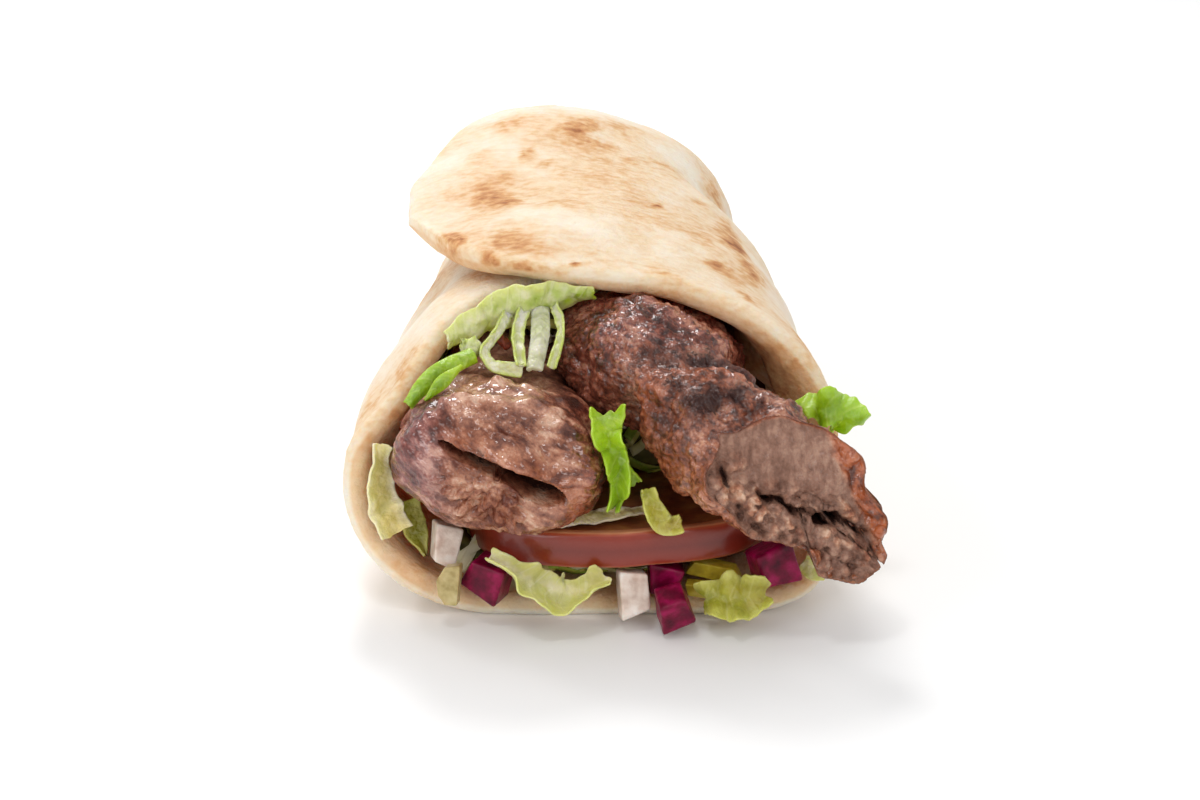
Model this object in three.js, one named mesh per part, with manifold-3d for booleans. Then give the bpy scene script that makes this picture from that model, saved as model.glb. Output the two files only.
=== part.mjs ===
// Beef kebab wrap: a flatbread rolled round two grilled minced-beef kebabs, a tomato slice, lettuce and
// pickled vegetables. Millimetres, +Z up. The mouth faces -Y and the roll runs back along +Y.
// The roll lies on a small flat spot, and the origin ends up under the middle of the whole, on the floor.
import * as THREE from 'three';
import { mergeVertices } from 'three/addons/utils/BufferGeometryUtils.js';
import Module from 'manifold-3d';

const wasm = await Module();
wasm.setup();

// Driving dimensions of the flatbread roll
const BREAD_THICKNESS = 4.4;
const MOUTH_HALF_WIDTH = 46.2;
const ROLL_HEIGHT = 57.5;
const ROLL_LENGTH = 158;
const SETTLE = 0.9; // how far the round underside is pressed flat
const LAP_DROP = 5.7; // how far the inner lap lies below the outer one
const LAP_START = -25; // degrees round the roll, from the top leftwards, where the bread begins
const FLAP_START = 338; // degrees where the bread leaves the roll and lies flat on top
const FLAP_REACH = 49; // length of the flap beyond there
const FLAP_STEP = 0.65; // millimetres of flap for each degree of travel

// Driving dimensions of the filling
const KEBAB_GAP = 0.45; // the kebabs lie this close to each other
const BED_GAP = 1.8; // and the salad bed stays this clear of them
const BED_RECESS = 18; // how much further back the bed begins at the upper right, where bare bread shows
const TOMATO_RADIUS = 28.8;
const TOMATO_THICKNESS = 6.6;
const TOMATO_CENTRE = [3.8, 24.6, 11.8];
const TOMATO_TILT = 6.5; // degrees, front edge up
const TOMATO_SQUARENESS = 2.7; // a ripe tomato isn't quite round: 2 would be an ellipse
const CUBE = 6.4; // the pickled turnip is diced to about this

// Small helpers
const radians = THREE.MathUtils.degToRad;
const { clamp, lerp, smoothstep } = THREE.MathUtils;
const vector = ([x, y, z]) => new THREE.Vector3(x, y, z);
const bell = (value, middle, width) => Math.exp(-(((value - middle) / width) ** 2));
const power = (value, exponent) => Math.sign(value) * Math.abs(value) ** exponent;

// A smooth function through a few [position, value] pairs that never overshoots them
function through(pairs) {
  const slopes = pairs.slice(1).map(([at, value], i) => (value - pairs[i][1]) / (at - pairs[i][0]));
  const tangents = pairs.map((pair, i) => {
    const before = slopes[Math.max(i - 1, 0)];
    const after = slopes[Math.min(i, slopes.length - 1)];
    return before * after > 0 ? (2 * before * after) / (before + after) : 0;
  });
  return (at) => {
    let i = 0;
    while (i < pairs.length - 2 && at > pairs[i + 1][0]) i += 1;
    const [from, low] = pairs[i];
    const [to, high] = pairs[i + 1];
    const t = clamp((at - from) / (to - from), 0, 1);
    const bend = (to - from) * t * (1 - t);
    return lerp(low, high, t * t * (3 - 2 * t)) + bend * ((1 - t) * tangents[i] - t * tangents[i + 1]);
  };
}

// Lines from one edge of a sheet to the other, close together where its rim is rounded. The fill of
// a line is the share of the full thickness that the sheet has there.
const RIM = [[0, 0], [0.16, 0.54], [0.5, 0.87], [1, 1]];
const THIN_RIM = [[0, 0], [0.5, 0.87], [1, 1]];
const LEAF_RIM = [[0, 0], [1, 1]];

function spread(from, to, count, rim, profile = RIM) {
  const width = Math.min(rim, Math.abs(to - from) / 4) * Math.sign(to - from);
  const start = profile.slice(0, -1).map(([at, fill]) => ({ at: from + at * width, fill }));
  const end = profile.slice(0, -1).map(([at, fill]) => ({ at: to - at * width, fill })).reverse();
  const middle = Array.from({ length: count + 1 }, (_, i) => ({
    at: lerp(from + width, to - width, i / count),
    fill: 1,
  }));
  return [...start, ...middle, ...end];
}

function geometryOf(points, faces) {
  const geometry = new THREE.BufferGeometry();
  const flat = points.flatMap((p) => [p.x, p.y, p.z]);
  geometry.setAttribute('position', new THREE.Float32BufferAttribute(flat, 3));
  geometry.setIndex(faces);
  geometry.computeVertexNormals();
  return geometry;
}

// A curved sheet with thickness: surface(a, b) is its middle, and both of its faces are split alike
function thickSheet({ surface, half, columns, rowsOf, finish = (point) => point }) {
  const step = 0.05;
  const points = [];
  const faces = [];
  const keep = (point) => points.push(finish(point)) - 1;
  const grid = columns.map(({ at: a, fill: columnFill }) => rowsOf(a).map(({ at: b, fill: rowFill }) => {
    const middle = surface(a, b);
    const alongA = surface(a + step, b).sub(surface(a - step, b));
    const alongB = surface(a, b + step).sub(surface(a, b - step));
    const normal = alongA.cross(alongB).normalize();
    const depth = half(a, b) * columnFill * rowFill;
    const front = keep(middle.clone().addScaledVector(normal, depth));
    const back = depth > 0 ? keep(middle.clone().addScaledVector(normal, -depth)) : front;
    return { front, back };
  }));
  for (let i = 0; i < grid.length - 1; i += 1) {
    for (let j = 0; j < grid[i].length - 1; j += 1) {
      const [p, q, r, s] = [grid[i][j], grid[i + 1][j], grid[i + 1][j + 1], grid[i][j + 1]];
      faces.push(p.front, q.front, r.front, p.front, r.front, s.front);
      faces.push(p.back, r.back, q.back, p.back, s.back, r.back);
    }
  }
  return geometryOf(points, faces);
}

// Closed loops of points become one body with a point at each end
function skin(loops, frontPole, backPole) {
  const sides = loops[0].length;
  const points = [...loops.flat(), frontPole, backPole];
  const faces = [];
  const id = (i, j) => i * sides + (j % sides);
  const last = loops.length - 1;
  for (let j = 0; j < sides; j += 1) {
    for (let i = 0; i < last; i += 1) {
      faces.push(id(i, j), id(i + 1, j), id(i + 1, j + 1), id(i, j), id(i + 1, j + 1), id(i, j + 1));
    }
    faces.push(points.length - 2, id(0, j), id(0, j + 1));
    faces.push(points.length - 1, id(last, j + 1), id(last, j));
  }
  return geometryOf(points, faces);
}

// The share of its full section that a body has at a distance from its rounded end, and its loops' places
const rounding = (from, cap) => (1 - (1 - clamp(from / cap, 0, 1)) ** 2.4) ** (1 / 2.4);

function stations(length, frontCap, backCap, rings) {
  const between = Array.from({ length: rings + 1 }, (_, i) => lerp(frontCap, length - backCap, i / rings));
  const front = [0.04, 0.2, 0.5].map((share) => share * frontCap);
  const back = [0.5, 0.15].map((share) => length - share * backCap);
  return [...front, ...between, ...back];
}

// A long closed body along a path. Its section is an oval that may lean, and both ends are rounded.
function limb({ path, width, height, lean = () => 0, squareness = 2, sides, rings, caps, relief = () => 0 }) {
  const curve = new THREE.CatmullRomCurve3(path.map(vector));
  const length = curve.getLength();
  const [frontCap, backCap] = caps;
  const ringAt = (at) => {
    const swell = rounding(at, frontCap) * rounding(length - at, backCap);
    const middle = curve.getPointAt(at / length);
    const ahead = curve.getTangentAt(at / length);
    const across = ahead.clone().cross(new THREE.Vector3(0, 0, 1)).normalize();
    const up = across.clone().cross(ahead);
    const tilt = radians(lean(at));
    return Array.from({ length: sides }, (_, i) => {
      const turn = (i / sides) * 2 * Math.PI;
      const x = width(at) * power(Math.cos(turn), 2 / squareness);
      const z = height(at) * power(Math.sin(turn), 2 / squareness);
      const grow = swell * (1 + relief(turn, at) / Math.hypot(x, z));
      const sideways = grow * (x * Math.cos(tilt) - z * Math.sin(tilt));
      const upwards = grow * (x * Math.sin(tilt) + z * Math.cos(tilt));
      return middle.clone().addScaledVector(across, sideways).addScaledVector(up, upwards);
    });
  };
  const loops = stations(length, frontCap, backCap, rings).map(ringAt);
  return skin(loops, curve.getPointAt(0), curve.getPointAt(1));
}

// A block whose front is the face place(u, v) and whose back is the same face moved by offset
function block(place, offset, count) {
  const points = [];
  const faces = [];
  const layers = [0, 1].map((layer) => Array.from({ length: count + 1 }, (_, i) => (
    Array.from({ length: count + 1 }, (__, j) => (
      points.push(place(i / count, j / count).addScaledVector(offset, layer)) - 1
    ))
  )));
  const quad = (p, q, r, s) => faces.push(p, q, r, p, r, s);
  const [near, far] = layers;
  for (let i = 0; i < count; i += 1) {
    for (let j = 0; j < count; j += 1) {
      quad(near[i][j], near[i][j + 1], near[i + 1][j + 1], near[i + 1][j]);
      quad(far[i][j], far[i + 1][j], far[i + 1][j + 1], far[i][j + 1]);
    }
    quad(near[i][0], near[i + 1][0], far[i + 1][0], far[i][0]);
    quad(near[i + 1][count], near[i][count], far[i][count], far[i + 1][count]);
    quad(near[0][i + 1], near[0][i], far[0][i], far[0][i + 1]);
    quad(near[count][i], near[count][i + 1], far[count][i + 1], far[count][i]);
  }
  return geometryOf(points, faces);
}

// Solids for cutting and joining
function solidOf(geometry) {
  const bare = geometry.clone();
  bare.deleteAttribute('normal');
  bare.deleteAttribute('uv');
  const merged = mergeVertices(bare, 1e-4);
  return new wasm.Manifold(new wasm.Mesh({
    numProp: 3,
    vertProperties: new Float32Array(merged.attributes.position.array),
    triVerts: new Uint32Array(merged.index.array),
  }));
}

function geometryFrom(solid) {
  const { vertProperties, triVerts } = solid.getMesh();
  const geometry = new THREE.BufferGeometry();
  geometry.setAttribute('position', new THREE.BufferAttribute(new Float32Array(vertProperties), 3));
  geometry.setIndex([...triVerts]);
  geometry.computeVertexNormals();
  return geometry;
}

const largest = (solid) => solid.decompose().sort((a, b) => b.volume() - a.volume())[0];

// The wrap, and one named mesh for each piece of it
const wrap = new THREE.Group();

function add(name, geometry, color, roughness) {
  const material = new THREE.MeshStandardMaterial({ color, roughness, metalness: 0 });
  const mesh = new THREE.Mesh(geometry, material);
  mesh.name = name;
  wrap.add(mesh);
  return mesh;
}

// Flatbread: the roll's outer half width, top, underside and middle at each distance from the mouth
const rollHalfWidth = through([
  [0, MOUTH_HALF_WIDTH], [20, 43.8], [50, 39], [75, 35.4], [92, 32.2], [108, 29.4],
  [125, 27.2], [140, 23.4], [150, 18], [ROLL_LENGTH, 12],
]);
const rollTop = through([
  [0, ROLL_HEIGHT - 1], [30, ROLL_HEIGHT], [92, ROLL_HEIGHT], [108, 56.3], [125, 53.2],
  [140, 47.5], [150, 41.5], [ROLL_LENGTH, 35],
]);
const rollUnderside = through([[0, -SETTLE], [122, -SETTLE], [134, 0.6], [147, 6], [ROLL_LENGTH, 15]]);
const rollMiddle = through([[0, -1.4], [30, -1.4], [60, -0.4], [92, 0], [125, -1.5], [ROLL_LENGTH, -2.5]]);

// Where the bread's front and back edges lie, by degrees of travel round the roll
const flapAt = (reach) => FLAP_START + reach / FLAP_STEP;
const frontEdge = through([
  [LAP_START, 52], [0, 41], [15, 35], [35, 25], [55, 15], [75, 9], [95, 5], [125, 1.5], [160, 0], [205, 0],
  [230, 2], [245, 7], [270, 14], [300, 19], [FLAP_START, 25], [flapAt(20), 26], [flapAt(30), 28.5],
  [flapAt(37), 34], [flapAt(42), 42], [flapAt(46), 52], [flapAt(FLAP_REACH), 61],
]);
const backEdge = through([
  [LAP_START, 126], [0, 140], [30, 152], [60, 157], [90, ROLL_LENGTH], [330, ROLL_LENGTH],
  [flapAt(0), 157], [flapAt(10), 146], [flapAt(20), 127], [flapAt(28), 114], [flapAt(36), 105],
  [flapAt(42), 93], [flapAt(46), 82], [flapAt(FLAP_REACH), 75],
]);

// How square the roll's section is: most where its sides stand on the floor
const cornerSquareness = through([
  [0, 1.85], [90, 1.85], [91, 2.7], [180, 2.7], [181, 4], [270, 4], [271, 2], [360, 2],
]);

// Dents and swells of the baked sheet, outwards positive
function breadWaves(turn, y) {
  const shoulder = bell(turn, radians(302), 0.42);
  const dent = -4.2 * bell(y, 90, 11) + 0.8 * bell(y, 114, 7);
  const leftShoulder = -2.1 * bell(turn, radians(60), 0.38);
  const leftDent = -2 * bell(turn, radians(70), 0.3) * bell(y, 14, 18);
  const ripple = 0.4 * Math.sin(y / 5.2 + 2 * turn) + 0.3 * Math.sin(y / 8.5 - 3 * turn + 1);
  const lip = 0.7 * Math.sin(5 * turn + 0.6) * Math.exp(-y / 18);
  const pleats = 0.9 * Math.sin(7 * turn) * smoothstep(y, 128, ROLL_LENGTH);
  return shoulder * dent + leftShoulder + leftDent + ripple + lip + pleats;
}

// A point of the roll, this far inside the middle of its sheet
function rollPoint(degrees, y, inset = 0) {
  const turn = radians(degrees);
  const half = BREAD_THICKNESS / 2 + inset;
  const width = rollHalfWidth(y) - half;
  const height = (rollTop(y) - rollUnderside(y)) / 2 - half;
  const middleZ = (rollTop(y) + rollUnderside(y)) / 2;
  const [sine, cosine] = [Math.sin(turn), Math.cos(turn)];
  const exponent = 2 / cornerSquareness(((degrees % 360) + 360) % 360);
  const out = breadWaves(turn, y);
  const x = rollMiddle(y) - width * power(sine, exponent) - out * sine;
  const z = middleZ + height * power(cosine, exponent) + out * cosine;
  return new THREE.Vector3(x, y, z);
}

function breadSurface(travel, y) {
  const point = rollPoint(Math.min(travel, FLAP_START), y);
  point.z -= LAP_DROP * (1 - smoothstep(travel, -5, 52));
  const reach = Math.max(0, (travel - FLAP_START) * FLAP_STEP);
  if (reach > 0) {
    const before = rollPoint(FLAP_START - 1, y);
    const slope = (point.z - before.z) / (before.x - point.x);
    const droop = (slope * FLAP_REACH + 1) / FLAP_REACH ** 2;
    const flapWave = 0.5 * Math.sin(y / 9 + reach / 7) * smoothstep(reach, 0, 12);
    point.x -= reach;
    point.z += slope * reach - droop * reach ** 2 + flapWave;
  }
  return point;
}

function flatbread() {
  const half = BREAD_THICKNESS / 2;
  const columns = spread(LAP_START, flapAt(FLAP_REACH), 48, half / FLAP_STEP);
  return thickSheet({
    surface: breadSurface,
    half: (travel, y) => half * (1 + 0.07 * Math.sin(y / 7 + radians(travel) * 3)),
    columns,
    rowsOf: (travel) => spread(frontEdge(travel), backEdge(travel), 15, half),
    finish: (point) => point.setZ(Math.max(point.z, 0)),
  });
}

// Kebabs: minced beef pressed by hand, so the section swells, narrows and leans along its length
const meatLumps = (turn, at) => (
  0.45 * Math.sin(3 * turn + at * 0.33)
  + 0.35 * Math.sin(5 * turn - at * 0.5 + 1)
  + 0.3 * Math.sin(2 * turn + at * 0.8)
);

function leftKebabBody(grow, sides, rings) {
  const swell = through([[0, 19], [14, 18.2], [30, 16], [60, 13.6], [112, 11.5]]);
  const rise = through([[0, 12.6], [12, 12.6], [24, 11.5], [60, 11.8], [112, 10.5]]);
  return limb({
    path: [
      [-18, -8 - grow, 30.8], [-17.2, 10, 30.2], [-16.2, 30, 28.4], [-14.6, 62, 27.4],
      [-13, 106 + grow, 26.5],
    ],
    width: (at) => swell(at) + grow,
    height: (at) => rise(at) + grow,
    lean: through([[0, -9], [30, -4], [60, 0], [112, 0]]),
    squareness: 2.1,
    sides,
    rings,
    caps: [8.5, 9],
    relief: meatLumps,
  });
}

function kebabLeft() {
  const start = vector([-28.2, 0, 37.2]);
  const finish = vector([-7, 0, 28.5]);
  const along = finish.clone().sub(start);
  const gape = (a) => 1.6 * Math.sqrt(Math.max(0.02, 1 - ((a - 10) / 10.6) ** 2));
  const slot = thickSheet({
    surface: (a, b) => start.clone().addScaledVector(along, a / 20).add(new THREE.Vector3(0, b, 0.12 * b)),
    half: (a, b) => gape(a) * lerp(1, 0.5, smoothstep(b, -8, 10)),
    columns: spread(0, 20, 6, 1, THIN_RIM),
    rowsOf: () => spread(-20, 9, 3, 1, THIN_RIM),
  });
  return geometryFrom(solidOf(leftKebabBody(0, 24, 14)).subtract(solidOf(slot)));
}

function rightKebabBody(grow, sides, rings) {
  const swell = through([
    [0, 10.8], [14, 10.2], [34, 12.5], [50, 12.3], [60, 14.6], [70, 16.2], [84, 15], [104, 12], [150, 10.4],
  ]);
  const rise = through([[0, 10], [14, 10], [34, 10.8], [52, 10.4], [68, 11.2], [90, 10.6], [150, 9.6]]);
  const waist = (turn, at) => -2.7 * bell(at, 53, 4.7) * bell(turn, 1.2, 1.2);
  return limb({
    path: [
      [47.6, -21, 17.7], [38.4, -13.2, 28.8], [24.8, -0.8, 32.3], [13.5, 11.5, 41],
      [7.8, 27, 39.5], [10.8, 46, 34.9], [12.5, 72, 32], [13, 100 + grow, 29.6],
    ],
    width: (at) => swell(at) + grow,
    height: (at) => rise(at) + grow,
    lean: through([[0, 1], [40, 2], [56, -10], [68, -13], [90, -4], [150, 0]]),
    squareness: 2.1,
    sides,
    rings,
    caps: [4, 9],
    relief: (turn, at) => meatLumps(turn, at) + waist(turn, at),
  });
}

// The torn end: a rough oblique plane that faces the mouth's side, with a cleft and a small hollow in it
const TEAR_POINT = vector([37, -9.6, 29]);
const TEAR_NORMAL = vector([0.2, -0.93, 0.3]).normalize();

function tearPlace(u, v) {
  const across = new THREE.Vector3(0, 0, 1).cross(TEAR_NORMAL).normalize();
  const up = TEAR_NORMAL.clone().cross(across);
  const [x, z] = [lerp(-28, 28, u), lerp(-26, 26, v)];
  const rough = 0.8 * Math.sin(0.42 * x + 1.3 * Math.sin(0.3 * z)) * Math.cos(0.5 * z - 1)
    + 0.4 * Math.sin(0.8 * z + 1.5 * Math.cos(0.4 * x));
  const cleft = -3.2 * bell(z + 0.42 * x, -5.5, 1.8) * smoothstep(x, -6, 4) * (1 - smoothstep(x, 7, 12));
  const hollow = -3 * bell(x, -13.5, 2.4) * bell(z, 0, 5);
  return TEAR_POINT.clone()
    .addScaledVector(across, x)
    .addScaledVector(up, z)
    .addScaledVector(TEAR_NORMAL, rough + cleft + hollow);
}

function kebabRight() {
  const tear = solidOf(block(tearPlace, TEAR_NORMAL.clone().multiplyScalar(40), 18));
  const neighbour = solidOf(leftKebabBody(KEBAB_GAP, 24, 14));
  return geometryFrom(largest(solidOf(rightKebabBody(0, 24, 20)).subtract(tear).subtract(neighbour)));
}

// Tomato: one thick slice with a rounded skin edge, lying under the kebabs
function tomatoSlice() {
  const half = TOMATO_THICKNESS / 2;
  const rim = [[-half * 0.92, 0.9], [-half * 0.5, 0.25], [half * 0.5, 0.2], [half * 0.92, 0.8]];
  const profile = [
    new THREE.Vector2(0, -half),
    new THREE.Vector2(TOMATO_RADIUS - 2.4, -half),
    ...rim.map(([z, inset]) => new THREE.Vector2(TOMATO_RADIUS - inset, z)),
    new THREE.Vector2(TOMATO_RADIUS - 2.4, half),
    new THREE.Vector2(0, half),
  ];
  const slice = new THREE.LatheGeometry(profile, 36).rotateX(Math.PI / 2);
  const places = slice.attributes.position;
  for (let i = 0; i < places.count; i += 1) {
    const [x, y] = [places.getX(i), places.getY(i)];
    const turn = Math.atan2(y, x);
    const sum = Math.abs(Math.cos(turn)) ** TOMATO_SQUARENESS + Math.abs(Math.sin(turn)) ** TOMATO_SQUARENESS;
    const swell = sum ** (-1 / TOMATO_SQUARENESS);
    places.setXY(i, x * swell, y * swell);
  }
  return slice;
}

function placeTomato(mesh) {
  mesh.position.set(...TOMATO_CENTRE);
  mesh.rotation.set(radians(-TOMATO_TILT), radians(-2), 0);
}

// Leaves and shreds: a strip along a path. Its flat side looks towards facing, and cup and ruffle bend it.
function strip({
  path, width, facing, thickness = 0.6, steps = 8, lanes = 3, cup = 0, ruffle = 0, pitch = 3,
}) {
  const curve = new THREE.CatmullRomCurve3(path.map(vector));
  const length = curve.getLength();
  const surface = (a, b) => {
    const t = clamp(a / length, 0, 1);
    const ahead = curve.getTangentAt(t);
    const across = ahead.clone().cross(vector(facing)).normalize();
    const out = across.clone().cross(ahead);
    const side = (2 * b) / width(t);
    const lift = cup * side * side + ruffle * side * Math.sin((a / pitch) * 2 * Math.PI);
    return curve.getPointAt(t).addScaledVector(ahead, a - t * length).addScaledVector(across, b)
      .addScaledVector(out, lift);
  };
  return thickSheet({
    surface,
    half: () => thickness / 2,
    columns: spread(0, length, steps, thickness, LEAF_RIM),
    rowsOf: (a) => {
      const wide = width(clamp(a / length, 0, 1));
      return spread(-wide / 2, wide / 2, lanes, thickness / 2, LEAF_RIM);
    },
  });
}

const taper = (start, middle, end) => through([[0, start], [0.5, middle], [1, end]]);

// Every leaf and shred that shows: name, colour and shape
const GREENS = {
  lettuce_top: [0xa9bf3f, {
    path: [[-19.8, 22, 49.6], [-13, 24.5, 51.2], [-6.5, 25.5, 51.8], [-0.8, 25.5, 52]],
    width: taper(3.4, 5.2, 3), facing: [0, -0.9, -0.2], thickness: 0.8, cup: -0.5,
  }],
  lettuce_loop: [0xd9dfa0, {
    path: [
      [-15.8, 19.5, 50.4], [-19.2, 17, 47.2], [-20.6, 14.6, 45.4], [-19.2, 12.4, 43.9], [-15.6, 11, 43.6],
    ],
    width: taper(2, 1.6, 2.4), facing: [0.5, -0.8, 0.4], thickness: 0.8, lanes: 2, steps: 10,
  }],
  lettuce_shred_a: [0xc3d078, {
    path: [[-13.9, 19.5, 49.2], [-14.4, 15.5, 46.8], [-14, 11.5, 44.2]],
    width: taper(1.8, 2.2, 1.6), facing: [0.2, -1, 0.2], lanes: 2, steps: 5,
  }],
  lettuce_rib: [0xe9ead6, {
    path: [[-11, 19.5, 49.2], [-10.8, 15.5, 46.6], [-11.5, 11.2, 43.9]],
    width: taper(2.6, 3, 2.4), facing: [0, -1, 0.2], thickness: 1.3, lanes: 2, steps: 5,
  }],
  lettuce_shred_b: [0xcdd98a, {
    path: [[-8.2, 19.5, 49.4], [-8, 15.5, 47], [-8.6, 12.3, 43.6]],
    width: taper(1.4, 1.6, 1.4), facing: [-0.3, -1, 0.2], lanes: 2, steps: 5,
  }],
  lettuce_knob: [0xd5d9a2, {
    path: [[-24.7, 16.5, 44.4], [-22.8, 15.6, 45.8], [-21.2, 16.4, 46.6]],
    width: taper(2.4, 3.4, 2.4), facing: [0.2, -0.9, 0.3], thickness: 1.1, steps: 4, lanes: 2, cup: -0.6,
  }],
  lettuce_left: [0xa8b548, {
    path: [[-22, 12.8, 45.8], [-26.4, 10.8, 44.4], [-30.7, 8.2, 42.1], [-33.9, 5.4, 39]],
    width: taper(2.2, 3.4, 2), facing: [0.3, -0.8, 0.5], thickness: 0.7, cup: -0.5,
  }],
  lettuce_spike: [0x8fae2c, {
    path: [[-24.2, 7.2, 46], [-27.4, 5.4, 43.9], [-30.8, 3.4, 40.8]],
    width: taper(1, 2, 0.8), facing: [0.2, -0.8, 0.6], lanes: 2, steps: 5,
  }],
  lettuce_pale_left: [0xd8c98a, {
    path: [[-38.8, 5.4, 32], [-39.4, 4.2, 26.4], [-38.6, 3, 20.6], [-36.2, 1.6, 15.4]],
    width: taper(3, 6, 6.4), facing: [0.5, -0.85, 0.1], thickness: 0.8,
    cup: 0.8, ruffle: 0.4, pitch: 8,
  }],
  lettuce_low_left: [0xb7a24e, {
    path: [[-35, 8.6, 19.5], [-33.4, 7.4, 14.4], [-31.2, 5.2, 9.2]],
    width: taper(4.4, 4.4, 1), facing: [0.4, -0.9, 0.2], thickness: 0.8, cup: 0.4,
  }],
  lettuce_curl: [0xe2e6ae, {
    path: [
      [-20.2, -4.4, 13.6], [-15.8, -5.6, 11.8], [-11.4, -6, 9], [-6.8, -5.8, 7], [-2, -5.2, 7.8],
      [1.4, -5, 10.4],
    ],
    width: taper(1.8, 6, 3), facing: [0, -0.85, 0.5], thickness: 0.7, steps: 12,
    cup: 0.9, ruffle: 0.7, pitch: 7,
  }],
  lettuce_frill: [0xd3c453, {
    path: [[17.2, -4, 5.4], [21.4, -5.2, 6.6], [26, -5.8, 7], [31, -5.4, 7.8]],
    width: taper(5, 9.4, 5), facing: [0, -0.8, 0.6], thickness: 0.7, steps: 12,
    cup: 0.7, ruffle: 0.8, pitch: 5,
  }],
  lettuce_tip_right: [0xcfc04c, {
    path: [[36.1, 2.6, 9.9], [38.4, 2, 8.4], [40.7, 2, 7.3]],
    width: taper(3, 4, 2), facing: [-0.2, -0.9, 0.4], thickness: 0.8, steps: 4, cup: 0.3,
  }],
  lettuce_right: [0x86bd1c, {
    path: [[34.2, 10.6, 36], [38.4, 9.4, 37.2], [42.8, 8.4, 36.4], [46, 7.6, 32.8]],
    width: taper(2.4, 7.6, 7.4), facing: [0.1, -0.9, 0.4], thickness: 0.7, steps: 9,
    cup: -0.6, ruffle: 0.5, pitch: 5,
  }],
  lettuce_centre: [0x8cc022, {
    path: [[1.6, -0.4, 40], [2, -2.8, 36], [3.2, -3.4, 31.6], [3.2, -2.6, 26.4], [2.4, -1.8, 22]],
    width: taper(6.4, 3.6, 2), facing: [0, -1, 0.2], thickness: 0.7, steps: 10,
    cup: 0.7, ruffle: 0.3, pitch: 9,
  }],
  lettuce_dark: [0x5e8a1e, {
    path: [[2.6, 2.6, 34.4], [3.6, 1.6, 30], [6.4, 0.6, 25.4]],
    width: taper(1.4, 2.4, 3), facing: [-0.3, -1, 0], steps: 6,
  }],
  lettuce_olive: [0xb3ad3c, {
    path: [[8.2, -2.4, 26.8], [9.4, -3.6, 23.2], [11.6, -4.6, 20.4], [14.6, -4.4, 20.8]],
    width: taper(2, 3.6, 2.6), facing: [0.1, -0.9, 0.4], thickness: 0.7,
    cup: 0.6, ruffle: 0.4, pitch: 5,
  }],
  lettuce_strip_low: [0xd7d98f, {
    path: [[-7.4, -0.6, 18.7], [-2.4, 1, 19.2], [3.4, 2.2, 19.6], [8.6, 3.6, 19.6]],
    width: taper(1.8, 3.2, 2), facing: [0, -0.5, 0.9], thickness: 0.6, steps: 8,
  }],
};

// Diced and sliced pieces: name, colour, size across, deep and high, place, and turn in degrees
const DICE = {
  radish_left: [0xe8e4dc, [4.2, 4.4, 7.2], [-27.6, 2.2, 13.3], [-14, 8, 14]],
  radish_centre: [0xe6dfd6, [6, 5.4, 8], [5.7, -3, 6.6], [-16, -4, 8]],
  turnip_left: [0x7a0646, [CUBE, CUBE, CUBE - 0.4], [-19.6, -1.1, 8.8], [6, 22, -24]],
  turnip_back: [0x5e0336, [CUBE - 0.8, CUBE, CUBE - 0.8], [11.4, 2, 7.2], [-4, 6, 4]],
  turnip_front: [0x8c1556, [CUBE - 0.2, CUBE - 0.6, CUBE - 0.2], [12.8, -7, 5.7], [18, -10, 12]],
  turnip_right: [0x73063f, [CUBE, CUBE, CUBE + 0.4], [31, 0.2, 10.8], [-6, -16, 20]],
  pickle_wedge: [0xa99a45, [3.6, 2.8, 7.6], [-26.8, -3.6, 8.7], [-8, 4, -12]],
  pickle_spear_a: [0xa99526, [9.2, 3.2, 2.8], [20.6, 2.4, 8.4], [0, 12, -8]],
  pickle_spear_b: [0xb7a52c, [9.4, 2.8, 2.4], [21, -0.8, 5.6], [0, 4, -6]],
};

// A diced piece: a short prism whose four sides aren't quite square to each other
function diced([across, deep, high], seed) {
  const edge = 0.35;
  const skew = (k) => 0.12 * Math.sin(seed * 2.3 + k * 1.9);
  const outline = new THREE.Shape([
    new THREE.Vector2((-0.5 + skew(0)) * across + edge, (-0.5 + skew(1)) * high + edge),
    new THREE.Vector2((0.5 + skew(2)) * across - edge, (-0.5 + skew(3)) * high + edge),
    new THREE.Vector2((0.5 + skew(4)) * across - edge, (0.5 + skew(5)) * high - edge),
    new THREE.Vector2((-0.5 + skew(6)) * across + edge, (0.5 + skew(7)) * high - edge),
  ]);
  const bevel = { bevelThickness: edge, bevelSize: edge, bevelSegments: 2, curveSegments: 1 };
  const geometry = new THREE.ExtrudeGeometry(outline, { depth: deep - 2 * edge, ...bevel });
  return geometry.translate(0, 0, edge - deep / 2).rotateX(Math.PI / 2);
}

// A bit of chilli behind the lettuce loop
function chilliBit() {
  return limb({
    path: [[-18.4, 20.4, 46.2], [-17.2, 19.8, 45.2], [-16.4, 19.4, 44]],
    width: () => 1,
    height: () => 0.8,
    sides: 8,
    rings: 2,
    caps: [0.8, 0.8],
  });
}

// The room that the salad leaves for the tomato
function tomatoRoom() {
  const tomato = new THREE.Mesh(tomatoSlice().scale(1.02, 1.02, 1.16));
  placeTomato(tomato);
  tomato.updateMatrix();
  return solidOf(tomato.geometry.clone().applyMatrix4(tomato.matrix));
}

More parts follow.
